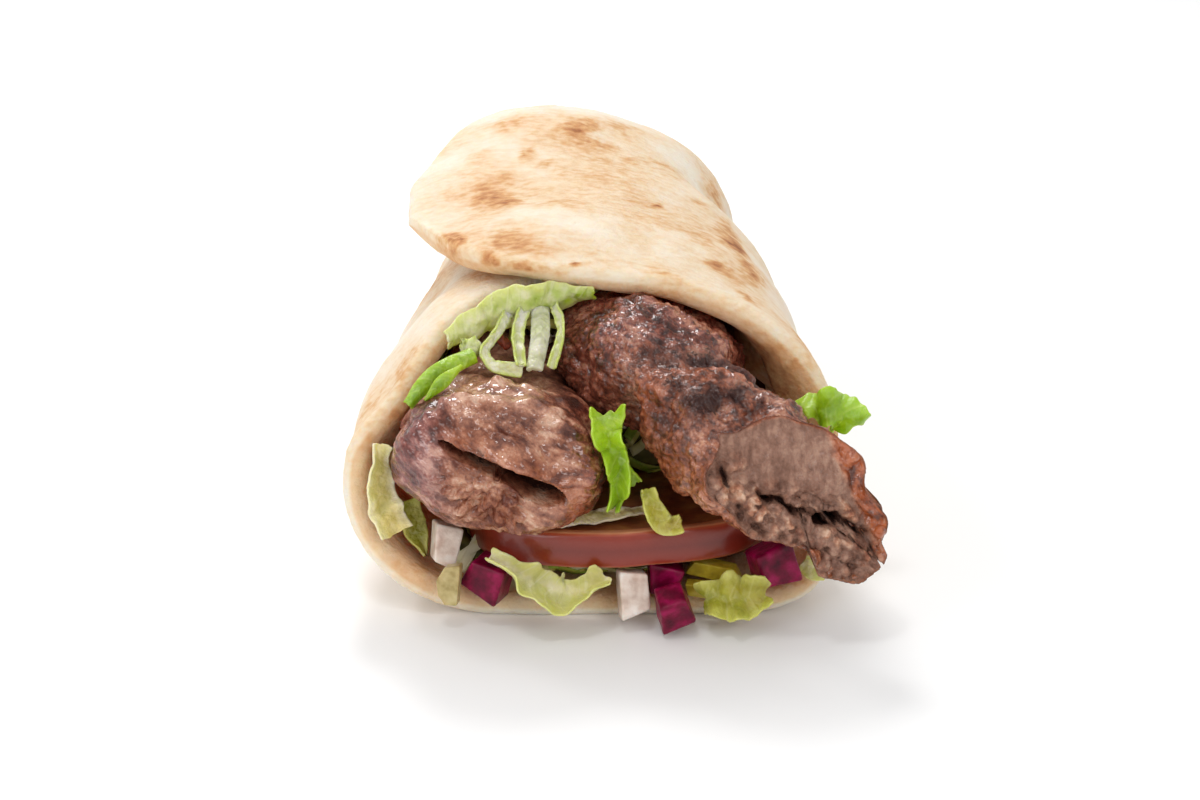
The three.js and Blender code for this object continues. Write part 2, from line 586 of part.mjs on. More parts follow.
// Salad bed: the shredded salad packed round everything else, from inside the mouth to the tail
function saladBed() {
  const [front, back] = [30, 150];
  const sides = 20;
  const heart = (y) => new THREE.Vector3(rollMiddle(y), y, (rollTop(y) + rollUnderside(y)) / 2 - 1);
  const loopAt = (at) => Array.from({ length: sides }, (_, i) => {
    const degrees = (i / sides) * 360;
    const y = front + at + BED_RECESS * bell(degrees, 300, 55) * (1 - smoothstep(at, 9, 60));
    const fromTop = Math.abs(((degrees + 540) % 360) - 180);
    const edge = rollPoint(degrees, y, BREAD_THICKNESS / 2 + 1.1 + 0.4 * Math.sin(i * 2.4 + at * 0.7));
    edge.z -= (LAP_DROP + 0.4) * (1 - smoothstep(fromTop, 30, 75));
    return heart(y).lerp(edge, rounding(at, 9) * rounding(back - y, 13));
  });
  const packed = skin(stations(back - front, 9, 13, 10).map(loopAt), heart(front), heart(back));
  const kebabs = [leftKebabBody(BED_GAP, 16, 11), rightKebabBody(BED_GAP, 16, 15)].map(solidOf);
  const bed = [...kebabs, tomatoRoom()].reduce((left, room) => left.subtract(room), solidOf(packed));
  return geometryFrom(largest(bed));
}

// Salad front: the flat handful of salad under the tomato, just inside the mouth
function saladFront() {
  const handful = limb({
    path: [[1, 8, 8.4], [0.5, 20, 8.4], [0.5, 31.5, 8.6]],
    width: through([[0, 28.6], [16, 27], [24, 25]]),
    height: () => 3.9,
    squareness: 2.6,
    sides: 18,
    rings: 2,
    caps: [5, 4],
    relief: (turn) => 0.3 * Math.sin(9 * turn),
  });
  return geometryFrom(largest(solidOf(handful).subtract(tomatoRoom())));
}

add('flatbread', flatbread(), 0xeedcc0, 0.85);
add('kebab_left', kebabLeft(), 0x74543f, 0.45);
add('kebab_right', kebabRight(), 0x633a28, 0.45);
placeTomato(add('tomato_slice', tomatoSlice(), 0xb0482c, 0.3));
add('salad_bed', saladBed(), 0x6d7d2c, 0.6);
add('salad_front', saladFront(), 0x7d8a34, 0.6);
add('chilli_bit', chilliBit(), 0x8c3a20, 0.4);
Object.entries(GREENS).forEach(([name, [color, shape]]) => add(name, strip(shape), color, 0.5));
Object.entries(DICE).forEach(([name, [color, size, place, turn]], i) => {
  const mesh = add(name, diced(size, i), color, 0.35);
  mesh.position.set(...place);
  mesh.rotation.set(...turn.map(radians));
});

// The origin goes to the middle of the whole's underside
wrap.updateMatrixWorld(true);
const extent = new THREE.Box3().setFromObject(wrap, true);
const centre = extent.getCenter(new THREE.Vector3());
wrap.position.set(-centre.x, -centre.y, -extent.min.z);

export default wrap;
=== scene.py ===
# %% [markdown]
# # Beef kebab wrap
# A flatbread is rolled round two grilled minced-beef kebabs, a slice of tomato, lettuce and pickles. The
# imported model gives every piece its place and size. This lesson makes the same pieces again from the same
# rules, much finer, and gives each one the finish of the real food.

# %% The fixed frame
import math
from itertools import product

import bpy
import numpy as np
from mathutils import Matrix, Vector


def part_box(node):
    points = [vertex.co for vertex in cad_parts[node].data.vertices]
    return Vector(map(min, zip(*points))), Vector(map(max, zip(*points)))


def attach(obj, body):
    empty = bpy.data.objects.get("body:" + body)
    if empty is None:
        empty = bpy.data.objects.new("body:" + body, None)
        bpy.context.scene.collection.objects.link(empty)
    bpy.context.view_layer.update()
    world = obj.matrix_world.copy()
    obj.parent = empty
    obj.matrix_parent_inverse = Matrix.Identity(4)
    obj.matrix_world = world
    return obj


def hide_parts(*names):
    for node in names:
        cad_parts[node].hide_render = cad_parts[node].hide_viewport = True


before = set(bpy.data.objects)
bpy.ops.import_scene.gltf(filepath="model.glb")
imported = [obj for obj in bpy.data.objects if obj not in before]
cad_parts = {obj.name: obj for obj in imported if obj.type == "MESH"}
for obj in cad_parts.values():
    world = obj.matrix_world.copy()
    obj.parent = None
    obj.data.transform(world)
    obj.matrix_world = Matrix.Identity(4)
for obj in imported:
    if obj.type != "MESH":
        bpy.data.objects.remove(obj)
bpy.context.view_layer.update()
MM = 0.001
print("nodes in the frame:", len(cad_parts))

# %% [markdown]
# The wrap is drawn in millimetres with the mouth at y = 0 and the floor at z = 0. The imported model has
# its origin under its own middle. The tomato slice is symmetrical about its centre, so the step from one
# set of coordinates to the other is read from it.

# %% From drawing coordinates to the frame
TOMATO_CENTRE = np.array([3.8, 24.6, 11.8])
low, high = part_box("tomato_slice")
SHIFT = TOMATO_CENTRE - (np.array(low) + np.array(high)) / 2 / MM
SHIFT[2] = 0.0


def placed(points):
    """Drawing millimetres become metres in the frame."""
    return (np.asarray(points, float) - SHIFT) * MM


print("drawing origin in the frame, mm:", np.round(-SHIFT, 2))

# %% [markdown]
# A long lens from a little above gives the photograph's view. The floor and the light are those of a
# white studio. A small softbox behind the wrap draws the glints on the wet meat, and the lamps at the
# front open up the shadows inside the mouth. The bright surroundings do the rest.

# %% Camera
CAMERA_PLACE = [0, -534.604, 272.394]
CAMERA_DIP = 23.2753


def linked(name, data):
    """A new object in the scene."""
    thing = bpy.data.objects.new(name, data)
    bpy.context.collection.objects.link(thing)
    return thing


camera = linked("camera", bpy.data.cameras.new("camera"))
camera.data.lens = 100
camera.data.sensor_width = 36
camera.data.clip_start = 0.01
camera.location = placed(CAMERA_PLACE)
camera.rotation_euler = (math.radians(90 - CAMERA_DIP), 0, 0)
bpy.context.scene.camera = camera
bpy.context.scene.view_settings.view_transform = "Standard"


# %% Colours and nodes
def srgb(code):
    """An sRGB hex colour as linear RGBA."""
    channels = [int(code[i:i + 2], 16) / 255 for i in (1, 3, 5)]
    return tuple(c / 12.92 if c <= 0.04045 else ((c + 0.055) / 1.055) ** 2.4 for c in channels) + (1.0,)


def add(tree, kind, inputs=None, stops=None, **settings):
    """Adds a node with its settings, inputs and colour stops.

    An input is a number, a socket, a node, which gives its first output in use, or a list of nodes.
    """
    made = tree.nodes.new(kind)
    for name, value in settings.items():
        setattr(made, name, value)
    for name, value in (inputs or {}).items():
        for source in value if isinstance(value, list) else [value]:
            if isinstance(source, bpy.types.Node):
                source = next(output for output in source.outputs if output.enabled)
            if isinstance(source, bpy.types.NodeSocket):
                tree.links.new(source, made.inputs[name])
            else:
                made.inputs[name].default_value = source
    if stops:
        ramp = made.color_ramp.elements
        while len(ramp) < len(stops):
            ramp.new(0.5)
        for element, (place, code) in zip(ramp, stops):
            element.position = place
            element.color = srgb(code)
    return made


def finish_of(name, surface):
    """A material whose Principled surface is filled by the function surface(tree, mm)."""
    material = bpy.data.materials.new(name)
    material.use_nodes = True
    tree = material.node_tree
    tree.nodes.clear()
    place = add(tree, "ShaderNodeTexCoord").outputs["Object"]
    mm = add(tree, "ShaderNodeMapping", {"Vector": place, "Scale": (1 / MM,) * 3})
    add(tree, "ShaderNodeOutputMaterial", {"Surface": surface(tree, mm)})
    return material


# %% Floor and light
def table_top(tree, mm):
    return add(tree, "ShaderNodeBsdfPrincipled", {"Base Color": srgb("#fafafa"), "Roughness": 0.6})


bpy.ops.mesh.primitive_plane_add(size=6, location=(0, 0, 0))
floor = bpy.context.object
floor.name = "floor"
floor.data.materials.append(finish_of("matt_white_board", table_top))

world = bpy.data.worlds.new("white_room")
world.use_nodes = True
surroundings = world.node_tree.nodes["Background"].inputs
surroundings["Color"].default_value = (1, 1, 1, 1)
surroundings["Strength"].default_value = 0.6
bpy.context.scene.world = world


LIT_SPOT = Vector((0, -0.03, 0.03))


def soft_lamp(name, place, size, power):
    lamp = bpy.data.lights.new(name, "AREA")
    lamp.shape = "DISK"
    lamp.size = size
    lamp.energy = power
    holder = linked(name, lamp)
    holder.location = place
    holder.rotation_euler = (LIT_SPOT - Vector(place)).to_track_quat("-Z", "Y").to_euler()


soft_lamp("overhead_softbox", (-0.05, 0.12, 0.75), 0.6, 0.5)
soft_lamp("back_softbox", (-0.08, 0.36, 0.5), 0.18, 1.3)
soft_lamp("left_back_key_lamp", (-0.38, 0.2, 0.42), 0.1, 0.4)
soft_lamp("front_key_lamp", (-0.1, -0.24, 0.6), 0.1, 0.4)
soft_lamp("left_front_softbox", (-0.46, -0.55, 0.3), 0.34, 1.0)
soft_lamp("right_front_softbox", (0.26, -0.52, 0.36), 0.24, 0.6)


# %% [markdown]
# ## Shapes from rules
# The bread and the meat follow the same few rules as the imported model: a width, a height or an edge is
# given at a handful of places, and a smooth curve runs through them. NumPy works out all points of a
# piece at once.

# %% Curves through a few places
def through(pairs):
    """A smooth function through [place, value] pairs that never overshoots them."""
    at, value = np.array(pairs, float).T
    slope = np.diff(value) / np.diff(at)
    before, after = np.append(slope[0], slope), np.append(slope, slope[-1])
    same_way = before * after > 0
    tangent = np.where(same_way, 2 * before * after / np.where(same_way, before + after, 1), 0)

    def curve(x):
        i = np.searchsorted(at[1:-1], x, side="left")
        span = at[i + 1] - at[i]
        t = np.clip((x - at[i]) / span, 0, 1)
        blend = t * t * (3 - 2 * t)
        bend = span * t * (1 - t) * ((1 - t) * tangent[i] - t * tangent[i + 1])
        return value[i] * (1 - blend) + value[i + 1] * blend + bend

    return curve


def smoothstep(x, start, end):
    t = np.clip((x - start) / (end - start), 0, 1)
    return t * t * (3 - 2 * t)


def bell(x, middle, width):
    return np.exp(-(((x - middle) / width) ** 2))


def power(x, exponent):
    return np.sign(x) * np.abs(x) ** exponent


def stack(*parts):
    return np.stack(np.broadcast_arrays(*parts), axis=-1)


def unit(vectors):
    return vectors / np.maximum(np.linalg.norm(vectors, axis=-1, keepdims=True), 1e-9)


# %% Roughness worked out in three dimensions
def hashed(cells, seed):
    """A repeatable random number from 0 to 1 for each whole-number cell."""
    x, y, z = (cells[..., k].astype(np.int64) for k in range(3))
    mixed = (x * 374761393 + y * 668265263 + z * 1440662683 + seed * 1274126177) & 0xFFFFFFFF
    mixed = ((mixed ^ (mixed >> 13)) * 1103515245) & 0xFFFFFFFF
    return ((mixed ^ (mixed >> 16)) & 0xFFFF) / 65535


def wobble(points, size, seed=0):
    """Soft random hills, from -1 to 1, about size millimetres apart."""
    scaled = points / size
    cell = np.floor(scaled)
    inside = scaled - cell
    inside = inside * inside * (3 - 2 * inside)
    total = 0
    for corner in product((0, 1), repeat=3):
        near = np.where(np.array(corner) == 1, inside, 1 - inside)
        total = total + near.prod(axis=-1) * hashed(cell + np.array(corner), seed)
    return 2 * total - 1


def crumbs(points, size, seed=0):
    """Rounded grains: 1 in the middle of each and 0 between them."""
    scaled = points / size
    cell = np.floor(scaled)
    nearest = np.full(points.shape[:-1], 9.0)
    for step in product((-1, 0, 1), repeat=3):
        other = cell + np.array(step)
        seat = other + stack(*(hashed(other, seed + k) for k in range(3)))
        nearest = np.minimum(nearest, ((seat - scaled) ** 2).sum(axis=-1))
    return np.clip(1 - 2.2 * nearest, 0, 1)


# %% From a grid of points to a mesh
def grid_faces(index, around=False):
    """Quads between neighbouring rows and columns of an index grid."""
    columns = np.vstack([index, index[:1]]) if around else index
    near, far = columns[:-1], columns[1:]
    return np.stack([near[:, :-1], far[:, :-1], far[:, 1:], near[:, 1:]], axis=-1).reshape(-1, 4)


def mesh_piece(name, points, faces, material, marks):
    """A smooth mesh object from drawing points; marks are numbers kept at each point for its material."""
    mesh = bpy.data.meshes.new(f"{name}_food")
    mesh.from_pydata(placed(points).tolist(), [], [list(face) for face in faces])
    mesh.materials.append(material)
    mesh.shade_smooth()
    for key, numbers in marks.items():
        layer = mesh.attributes.new(key, "FLOAT", "POINT")
        layer.data.foreach_set("value", np.asarray(numbers, np.float32).ravel())
    return linked(f"{name}_food", mesh)


def handed_over(piece, slot, *nodes):
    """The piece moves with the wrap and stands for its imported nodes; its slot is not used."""
    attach(piece, "root")
    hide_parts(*nodes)
    print(piece.name, len(piece.data.polygons), "faces")


# %% [markdown]
# ## Flatbread
# A soft round of bread, about four and a half millimetres thick, is rolled once round the filling and its
# last third lies over the top as a flap. It could be sculpted, but a roll is a rule: how far round the
# sheet has gone, and how far back along the roll, give the place of its middle. The two faces lie half a
# thickness to each side, and the edge between them is rounded. Just inside the mouth the inner face
# swells into soft folds that rest against the kebabs.

# %% Sizes of the roll
BREAD = 4.4
ROLL_LENGTH = 158
LAP_DROP = 5.7
LAP_START = -25
FLAP_START = 338
FLAP_REACH = 49
FLAP_STEP = 0.65

roll_half_width = through([
    [0, 46.2], [20, 43.8], [50, 39], [75, 35.4], [92, 32.2], [108, 29.4], [125, 27.2], [140, 23.4],
    [150, 18], [ROLL_LENGTH, 12],
])
roll_top = through([
    [0, 56.5], [30, 57.5], [92, 57.5], [108, 56.3], [125, 53.2], [140, 47.5], [150, 41.5],
    [ROLL_LENGTH, 35],
])
roll_underside = through([[0, -0.9], [122, -0.9], [134, 0.6], [147, 6], [ROLL_LENGTH, 15]])
roll_middle = through([[0, -1.4], [30, -1.4], [60, -0.4], [92, 0], [125, -1.5], [ROLL_LENGTH, -2.5]])
corner_squareness = through([
    [0, 1.85], [90, 1.85], [91, 2.7], [180, 2.7], [181, 4], [270, 4], [271, 2], [360, 2],
])


def flap_at(reach):
    return FLAP_START + reach / FLAP_STEP


front_edge = through([
    [LAP_START, 52], [0, 41], [15, 35], [35, 25], [55, 15], [75, 9], [95, 5], [125, 1.5], [160, 0],
    [205, 0], [230, 2], [245, 7], [270, 14], [300, 19], [FLAP_START, 25], [flap_at(20), 26],
    [flap_at(30), 28.5], [flap_at(37), 34], [flap_at(42), 42], [flap_at(46), 52],
    [flap_at(FLAP_REACH), 61],
])
back_edge = through([
    [LAP_START, 126], [0, 140], [30, 152], [60, 157], [90, ROLL_LENGTH], [330, ROLL_LENGTH],
    [flap_at(0), 157], [flap_at(10), 146], [flap_at(20), 127], [flap_at(28), 114], [flap_at(36), 105],
    [flap_at(42), 93], [flap_at(46), 82], [flap_at(FLAP_REACH), 75],
])


# %% The middle of the sheet
def bread_waves(turn, y):
    shoulder = bell(turn, math.radians(302), 0.42) * (-4.2 * bell(y, 90, 11) + 0.8 * bell(y, 114, 7))
    left = -2.1 * bell(turn, math.radians(60), 0.38) - 2 * bell(turn, math.radians(70), 0.3) * bell(y, 14, 18)
    ripple = 0.4 * np.sin(y / 5.2 + 2 * turn) + 0.3 * np.sin(y / 8.5 - 3 * turn + 1)
    lip = 0.7 * np.sin(5 * turn + 0.6) * np.exp(-y / 18)
    pleats = 0.9 * np.sin(7 * turn) * smoothstep(y, 128, ROLL_LENGTH)
    return shoulder + left + ripple + lip + pleats


def roll_point(degrees, y):
    turn = np.radians(degrees)
    half = BREAD / 2
    exponent = 2 / corner_squareness(np.mod(degrees, 360))
    out = bread_waves(turn, y)
    tall = (roll_top(y) - roll_underside(y)) / 2 - half
    x = roll_middle(y) - (roll_half_width(y) - half) * power(np.sin(turn), exponent) - out * np.sin(turn)
    z = (roll_top(y) + roll_underside(y)) / 2 + tall * power(np.cos(turn), exponent) + out * np.cos(turn)
    return stack(x, y, z)


def bread_middle(travel, y):
    point = roll_point(np.minimum(travel, FLAP_START), y)
    point[..., 2] -= LAP_DROP * (1 - smoothstep(travel, -5, 52))
    reach = np.maximum(0, (travel - FLAP_START) * FLAP_STEP)
    hinge = roll_point(np.full_like(y, FLAP_START), y)
    before = roll_point(np.full_like(y, FLAP_START - 1), y)
    slope = (hinge[..., 2] - before[..., 2]) / (before[..., 0] - hinge[..., 0])
    droop = (slope * FLAP_REACH + 1) / FLAP_REACH ** 2
    wave = 0.5 * np.sin(y / 9 + reach / 7) * smoothstep(reach, 0, 12)
    point[..., 0] -= reach
    point[..., 2] += np.where(reach > 0, slope * reach - droop * reach ** 2 + wave, 0)
    return point


# %% Lines across the sheet, close together round its edge
RIM_LINES = 5


def spread(start, end, count, rim):
    """Places from one edge to the other and the share of the full thickness at each."""
    angle = np.linspace(0, math.pi / 2, RIM_LINES, endpoint=False)
    into, fill = 1 - np.cos(angle), np.sin(angle)
    start, end = np.asarray(start, float)[..., None], np.asarray(end, float)[..., None]
    width = rim * np.sign(end - start)
    middle = (start + width) + (end - start - 2 * width) * np.linspace(0, 1, count + 1)
    places = np.concatenate([start + into * width, middle, (end - into * width)[..., ::-1]], axis=-1)
    return places, np.concatenate([fill, np.ones(count + 1), fill[::-1]])


COLUMNS, ROWS = 196, 96
half_sheet = BREAD / 2
travel, travel_fill = spread(LAP_START, flap_at(FLAP_REACH), COLUMNS, half_sheet / FLAP_STEP)
along, along_fill = spread(front_edge(travel), back_edge(travel), ROWS, half_sheet)
travel = np.repeat(travel[:, None], along.shape[1], axis=1)
print("bread grid:", travel.shape)

# %% Baked spots
# Each is [degrees round the sheet, distance back, half size round in degrees, half size back, strength].
OUTER_SPOTS = [
    [388.6, 62.5, 8.5, 7.5, 0.55], [384.8, 56.5, 4.5, 3.2, 0.75], [391, 68, 3, 3, 0.4],
    [376.6, 80.6, 3.6, 4.6, 0.75], [371, 74, 4, 2.4, 0.5], [365.5, 71, 4, 1.8, 0.4],
    [360.6, 96, 4, 6.4, 0.7], [354, 91, 5, 3, 0.4], [347, 85, 4, 2.2, 0.35], [369.4, 52.2, 10, 2.6, 0.35],
    [349.4, 61, 6, 2, 0.4], [344.6, 63.3, 1.8, 1.4, 0.8], [382.2, 34.4, 7.5, 3.2, 0.42],
    [388.6, 30.2, 2.6, 1.2, 0.85], [377.4, 28, 5, 1.3, 0.85], [364.6, 28.5, 4.4, 1.3, 0.8],
    [403.8, 43.6, 2.2, 1.9, 0.75], [400.6, 39.5, 2, 1.9, 0.8], [408.6, 51.7, 1.4, 2, 0.7],
    [317.4, 57.7, 5.5, 9, 0.95], [323, 37.5, 7, 3.4, 0.7], [338.2, 26.5, 2.6, 1.5, 0.7],
    [319, 28.6, 2.6, 2, 0.75], [312, 44, 5, 6, 0.6], [339, 88.6, 7, 2, 0.3], [306, 99, 6, 5, 0.4],
    [334.2, 48.8, 8, 1.6, 0.25], [330, 72, 7, 1.8, 0.3], [345, 104, 9, 4, 0.35], [380, 96, 5, 4, 0.4],
    [392, 84, 3, 3, 0.4], [362, 74, 24, 22, 0.2], [342, 46, 16, 12, 0.17], [326, 46, 16, 24, 0.22],
]
INNER_SPOTS = [
    [313, 26, 5, 3, 0.6], [302, 23.5, 4, 2.4, 0.4], [285, 21, 4, 3, 0.6], [57, 22, 3, 2.4, 0.5],
    [70, 12, 3, 2.4, 0.6], [85, 11, 3, 2.6, 0.55], [262, 13, 5, 3, 0.4], [275, 21, 10, 4.5, 0.45],
    [290, 23, 10, 4.5, 0.5], [305, 26, 9, 4.5, 0.5], [318, 28, 7, 4, 0.4], [290, 40, 9, 6, 0.4],
    [304, 46, 8, 6, 0.45],
]
rng = np.random.default_rng(11)
for _ in range(60):
    degrees_round = rng.uniform(-20, 300)
    half_size = rng.uniform(2.5, 8)
    darkest = 0.3 if degrees_round < 150 else 0.75
    OUTER_SPOTS.append([
        degrees_round, rng.uniform(8, 152), half_size * rng.uniform(0.9, 1.8), half_size,
        darkest * rng.uniform(0.4, 1),
    ])


def baked(travel, y, spots):
    """How brown the bread is, from 0 to 1; the spots' outlines are pulled about so that none is an oval."""
    places = stack(0.75 * travel, y, 0)
    travel = travel + 4.5 * wobble(places, 9, 71) + 2 * wobble(places, 3.5, 72)
    y = y + 3 * wobble(places, 8, 73) + 1.2 * wobble(places, 3, 74)
    total = np.zeros_like(y)
    for at, back_at, half_round, half_back, strength in spots:
        away = ((travel - at) / half_round) ** 2 + ((y - back_at) / half_back) ** 2
        total = np.maximum(total, strength * np.exp(-0.8 * away))
    return total


# %% Both faces of the sheet and its rim
# Each fold is [height, degrees round the sheet, half size round, distance behind the mouth, half size back].
INNER_FOLDS = [[4.6, 286, 22, 6.5, 4.5], [8, 292, 22, 26, 12], [3.4, 92, 24, 11, 6]]


def side_of(surface, a, b, step=0.05):
    """The direction square to a curved sheet."""
    along_a = surface(a + step, b) - surface(a - step, b)
    along_b = surface(a, b + step) - surface(a, b - step)
    return unit(np.cross(along_a, along_b))


middle = bread_middle(travel, along)
facing = side_of(bread_middle, travel, along)
depth = half_sheet * (1 + 0.07 * np.sin(along / 7 + 3 * np.radians(travel)))
depth = depth * travel_fill[:, None] * along_fill[None, :]
inner_toast, outer_toast = baked(travel, along, INNER_SPOTS), baked(travel, along, OUTER_SPOTS)
blister = 0.35 * outer_toast * (depth > 1)
behind_mouth = along - front_edge(travel[:, :1])
swelling = sum(
    height * bell(travel, at, half_round) * bell(behind_mouth, back_at, half_back)
    for height, at, half_round, back_at, half_back in INNER_FOLDS
)
inner_face = middle + facing * (depth + swelling * (depth > 1))[..., None]
outer_face = middle - facing * (depth + blister)[..., None]

first = np.arange(travel.size).reshape(travel.shape)
second = np.where(depth > 1e-6, first + travel.size, first)
bread_points = np.concatenate([inner_face.reshape(-1, 3), outer_face.reshape(-1, 3)])
bread_faces = np.concatenate([grid_faces(first), grid_faces(second)[:, ::-1]])
used = np.unique(bread_faces)
renumbered = np.zeros(len(bread_points), int)
renumbered[used] = np.arange(len(used))
marks = {
    "toast": np.concatenate([inner_toast.ravel(), outer_toast.ravel()])[used],
    "crumb_side": np.concatenate([np.ones(travel.size), np.zeros(travel.size)])[used],
}
print("bread:", len(used), "points,", len(bread_faces), "quads")


# %% [markdown]
# Baked dough and minced meat aren't smooth. One geometry tree lifts a surface along its own normals by
# soft hills, fine grain and rounded crumbs, each with a size and a height in millimetres. It never pushes
# a point through the table. The same tree serves every piece, so the sizes are its inputs, and a height
# that isn't given is nought.

# %% Geometry trees
def new_tree(name, **sockets):
    """A geometry tree with a named input for each socket, and the outputs of those inputs."""
    tree = bpy.data.node_groups.new(name, "GeometryNodeTree")
    tree.interface.new_socket("geometry", in_out="INPUT", socket_type="NodeSocketGeometry")
    for label, kind in sockets.items():
        tree.interface.new_socket(label, in_out="INPUT", socket_type="NodeSocket" + kind)
    tree.interface.new_socket("geometry", in_out="OUTPUT", socket_type="NodeSocketGeometry")
    return tree, tree.nodes.new("NodeGroupInput").outputs


def thickened(tree, sheet, thickness):
    """A closed slab with the sheet as its underside."""
    top = add(tree, "GeometryNodeExtrudeMesh", {
        "Mesh": sheet, "Offset Scale": thickness, "Individual": False,
    })
    under = add(tree, "GeometryNodeFlipFaces", {"Mesh": sheet})
    both = add(tree, "GeometryNodeJoinGeometry", {0: [top, under]})
    return add(tree, "GeometryNodeMergeByDistance", {"Geometry": both, "Distance": 1e-6})


def finished(tree, geometry, material):
    real = add(tree, "GeometryNodeRealizeInstances", {"Geometry": geometry})
    smooth = add(tree, "GeometryNodeSetShadeSmooth", {"Geometry": real})
    painted = add(tree, "GeometryNodeSetMaterial", {"Geometry": smooth, "Material": material})
    add(tree, "NodeGroupOutput", {"geometry": painted})


def applied(piece):
    """Gives the piece the mesh that its modifiers make of it."""
    shape = bpy.data.meshes.new_from_object(piece.evaluated_get(bpy.context.evaluated_depsgraph_get()))
    piece.modifiers.clear()
    piece.data = shape
    return piece


def grown(piece, tree, **values):
    """Gives the piece the mesh that the tree makes of it."""
    modifier = piece.modifiers.new(tree.name, "NODES")
    modifier.node_group = tree
    for item in tree.interface.items_tree:
        if item.in_out == "INPUT" and item.name in values:
            modifier[item.identifier] = values[item.name]
    return applied(piece)


# %% Relief
relief, given = new_tree(
    "relief", material="Material", hill_size="Float", hill_height="Float", grain_size="Float",
    grain_height="Float", crumb_size="Float", crumb_height="Float", seed="Float",
)
spot = add(relief, "GeometryNodeInputPosition")
spot_mm = add(relief, "ShaderNodeVectorMath", {0: spot, "Scale": 1 / MM}, operation="SCALE")
heights = []
for kind in ("hill", "grain", "crumb"):
    scale = add(relief, "ShaderNodeMath", {0: 1.0, 1: given[f"{kind}_size"]}, operation="DIVIDE")
    if kind == "crumb":
        grains = add(
            relief, "ShaderNodeTexVoronoi",
            {"Vector": spot_mm, "W": given["seed"], "Scale": scale, "Smoothness": 0.15},
            voronoi_dimensions="4D", feature="SMOOTH_F1",
        )
        ragged = add(relief, "GeometryNodeInputNamedAttribute", {"Name": "crumbly"}, data_type="FLOAT")
        level = add(relief, "ShaderNodeMath", {0: 0.55, 1: grains}, operation="SUBTRACT")
        level = add(relief, "ShaderNodeMath", {0: level, 1: ragged}, operation="MULTIPLY")
    else:
        level = add(
            relief, "ShaderNodeTexNoise",
            {"Vector": spot_mm, "W": given["seed"], "Scale": scale, "Detail": 2.0}, noise_dimensions="4D",
        )
        level = add(relief, "ShaderNodeMath", {0: level, 1: 0.5}, operation="SUBTRACT")
    height = given[f"{kind}_height"]
    heights.append(add(relief, "ShaderNodeMath", {0: level, 1: height}, operation="MULTIPLY"))
lift = heights[0]
for step, by in (("ADD", heights[1]), ("ADD", heights[2]), ("MULTIPLY", MM)):
    lift = add(relief, "ShaderNodeMath", {0: lift, 1: by}, operation=step)
normal = add(relief, "GeometryNodeInputNormal")
along_normal = add(relief, "ShaderNodeVectorMath", {0: normal, "Scale": lift}, operation="SCALE")
lifted = add(relief, "ShaderNodeVectorMath", {0: spot, 1: along_normal}, operation="ADD")
parts = add(relief, "ShaderNodeSeparateXYZ", {0: lifted}).outputs
above = add(relief, "ShaderNodeMath", {0: parts[2], 1: 0.0}, operation="MAXIMUM")
kept = add(relief, "ShaderNodeCombineXYZ", {0: parts[0], 1: parts[1], 2: above})
moved = add(relief, "GeometryNodeSetPosition", {"Geometry": given["geometry"], "Position": kept})
finished(relief, moved, given["material"])

# %% [markdown]
# The bread's colour is that of flour and of baking: ivory where it stayed pale, honey and brown where it
# touched the hot plate. The brown breaks up into speckles at its edges, and the surface is matt.

# %% Bread finish
def mark(tree, name):
    return add(tree, "ShaderNodeAttribute", attribute_name=name).outputs["Fac"]


def noise(tree, mm, size, detail=3.0):
    """Noise whose hills are about size millimetres across."""
    return add(tree, "ShaderNodeTexNoise", {"Vector": mm, "Scale": 1 / size, "Detail": detail})


def baked_dough(tree, mm):
    pulled = add(tree, "ShaderNodeMapping", {"Vector": mm, "Scale": (0.6, 1, 1)})
    streaks, patches = noise(tree, pulled, 1.3, 5), noise(tree, mm, 3.6, 4)
    speckle, clouds = noise(tree, mm, 0.8), noise(tree, mm, 16)
    mottled = add(tree, "ShaderNodeMath", {0: streaks, 1: patches}, operation="ADD")
    broken = add(tree, "ShaderNodeMapRange", {0: mottled, 1: 0.75, 2: 1.25, 3: 0.45, 4: 1.15})
    browning = add(tree, "ShaderNodeMath", {0: mark(tree, "toast"), 1: broken}, operation="MULTIPLY")
    faint = add(tree, "ShaderNodeMapRange", {0: clouds, 1: 0.38, 2: 0.68, 3: 0.05, 4: 0.3})
    streaky = add(tree, "ShaderNodeMapRange", {0: streaks, 1: 0.4, 2: 0.7, 3: 0.7, 4: 1.3})
    faint = add(tree, "ShaderNodeMath", {0: faint, 1: streaky}, operation="MULTIPLY")
    speckled = add(tree, "ShaderNodeMath", {0: speckle, 1: 0.06}, operation="MULTIPLY")
    # The inner face is browned a little more: partly the crumb's own tan, partly painted shade inside the
    # roll.
    inside = add(tree, "ShaderNodeMath", {0: mark(tree, "crumb_side"), 1: 0.2}, operation="MULTIPLY")
    for part in (faint, speckled, inside):
        browning = add(tree, "ShaderNodeMath", {0: browning, 1: part}, operation="ADD")
    colour = add(tree, "ShaderNodeValToRGB", {"Fac": browning}, stops=[
        (0.0, "#f0e8db"), (0.12, "#ebdac4"), (0.3, "#e3c5a1"), (0.5, "#d3a271"), (0.75, "#b97e50"),
        (1.0, "#8f5836"),
    ])
    crust = add(tree, "ShaderNodeMath", {0: speckle, 1: streaks}, operation="ADD")
    bump = add(tree, "ShaderNodeBump", {"Height": crust, "Strength": 0.6, "Distance": 0.0005})
    return add(tree, "ShaderNodeBsdfPrincipled", {
        "Base Color": colour, "Roughness": 0.75, "Normal": bump, "Specular IOR Level": 0.3,
        "Subsurface Weight": 0.5, "Subsurface Radius": (0.008, 0.005, 0.0026), "Subsurface Scale": 1.0,
    })


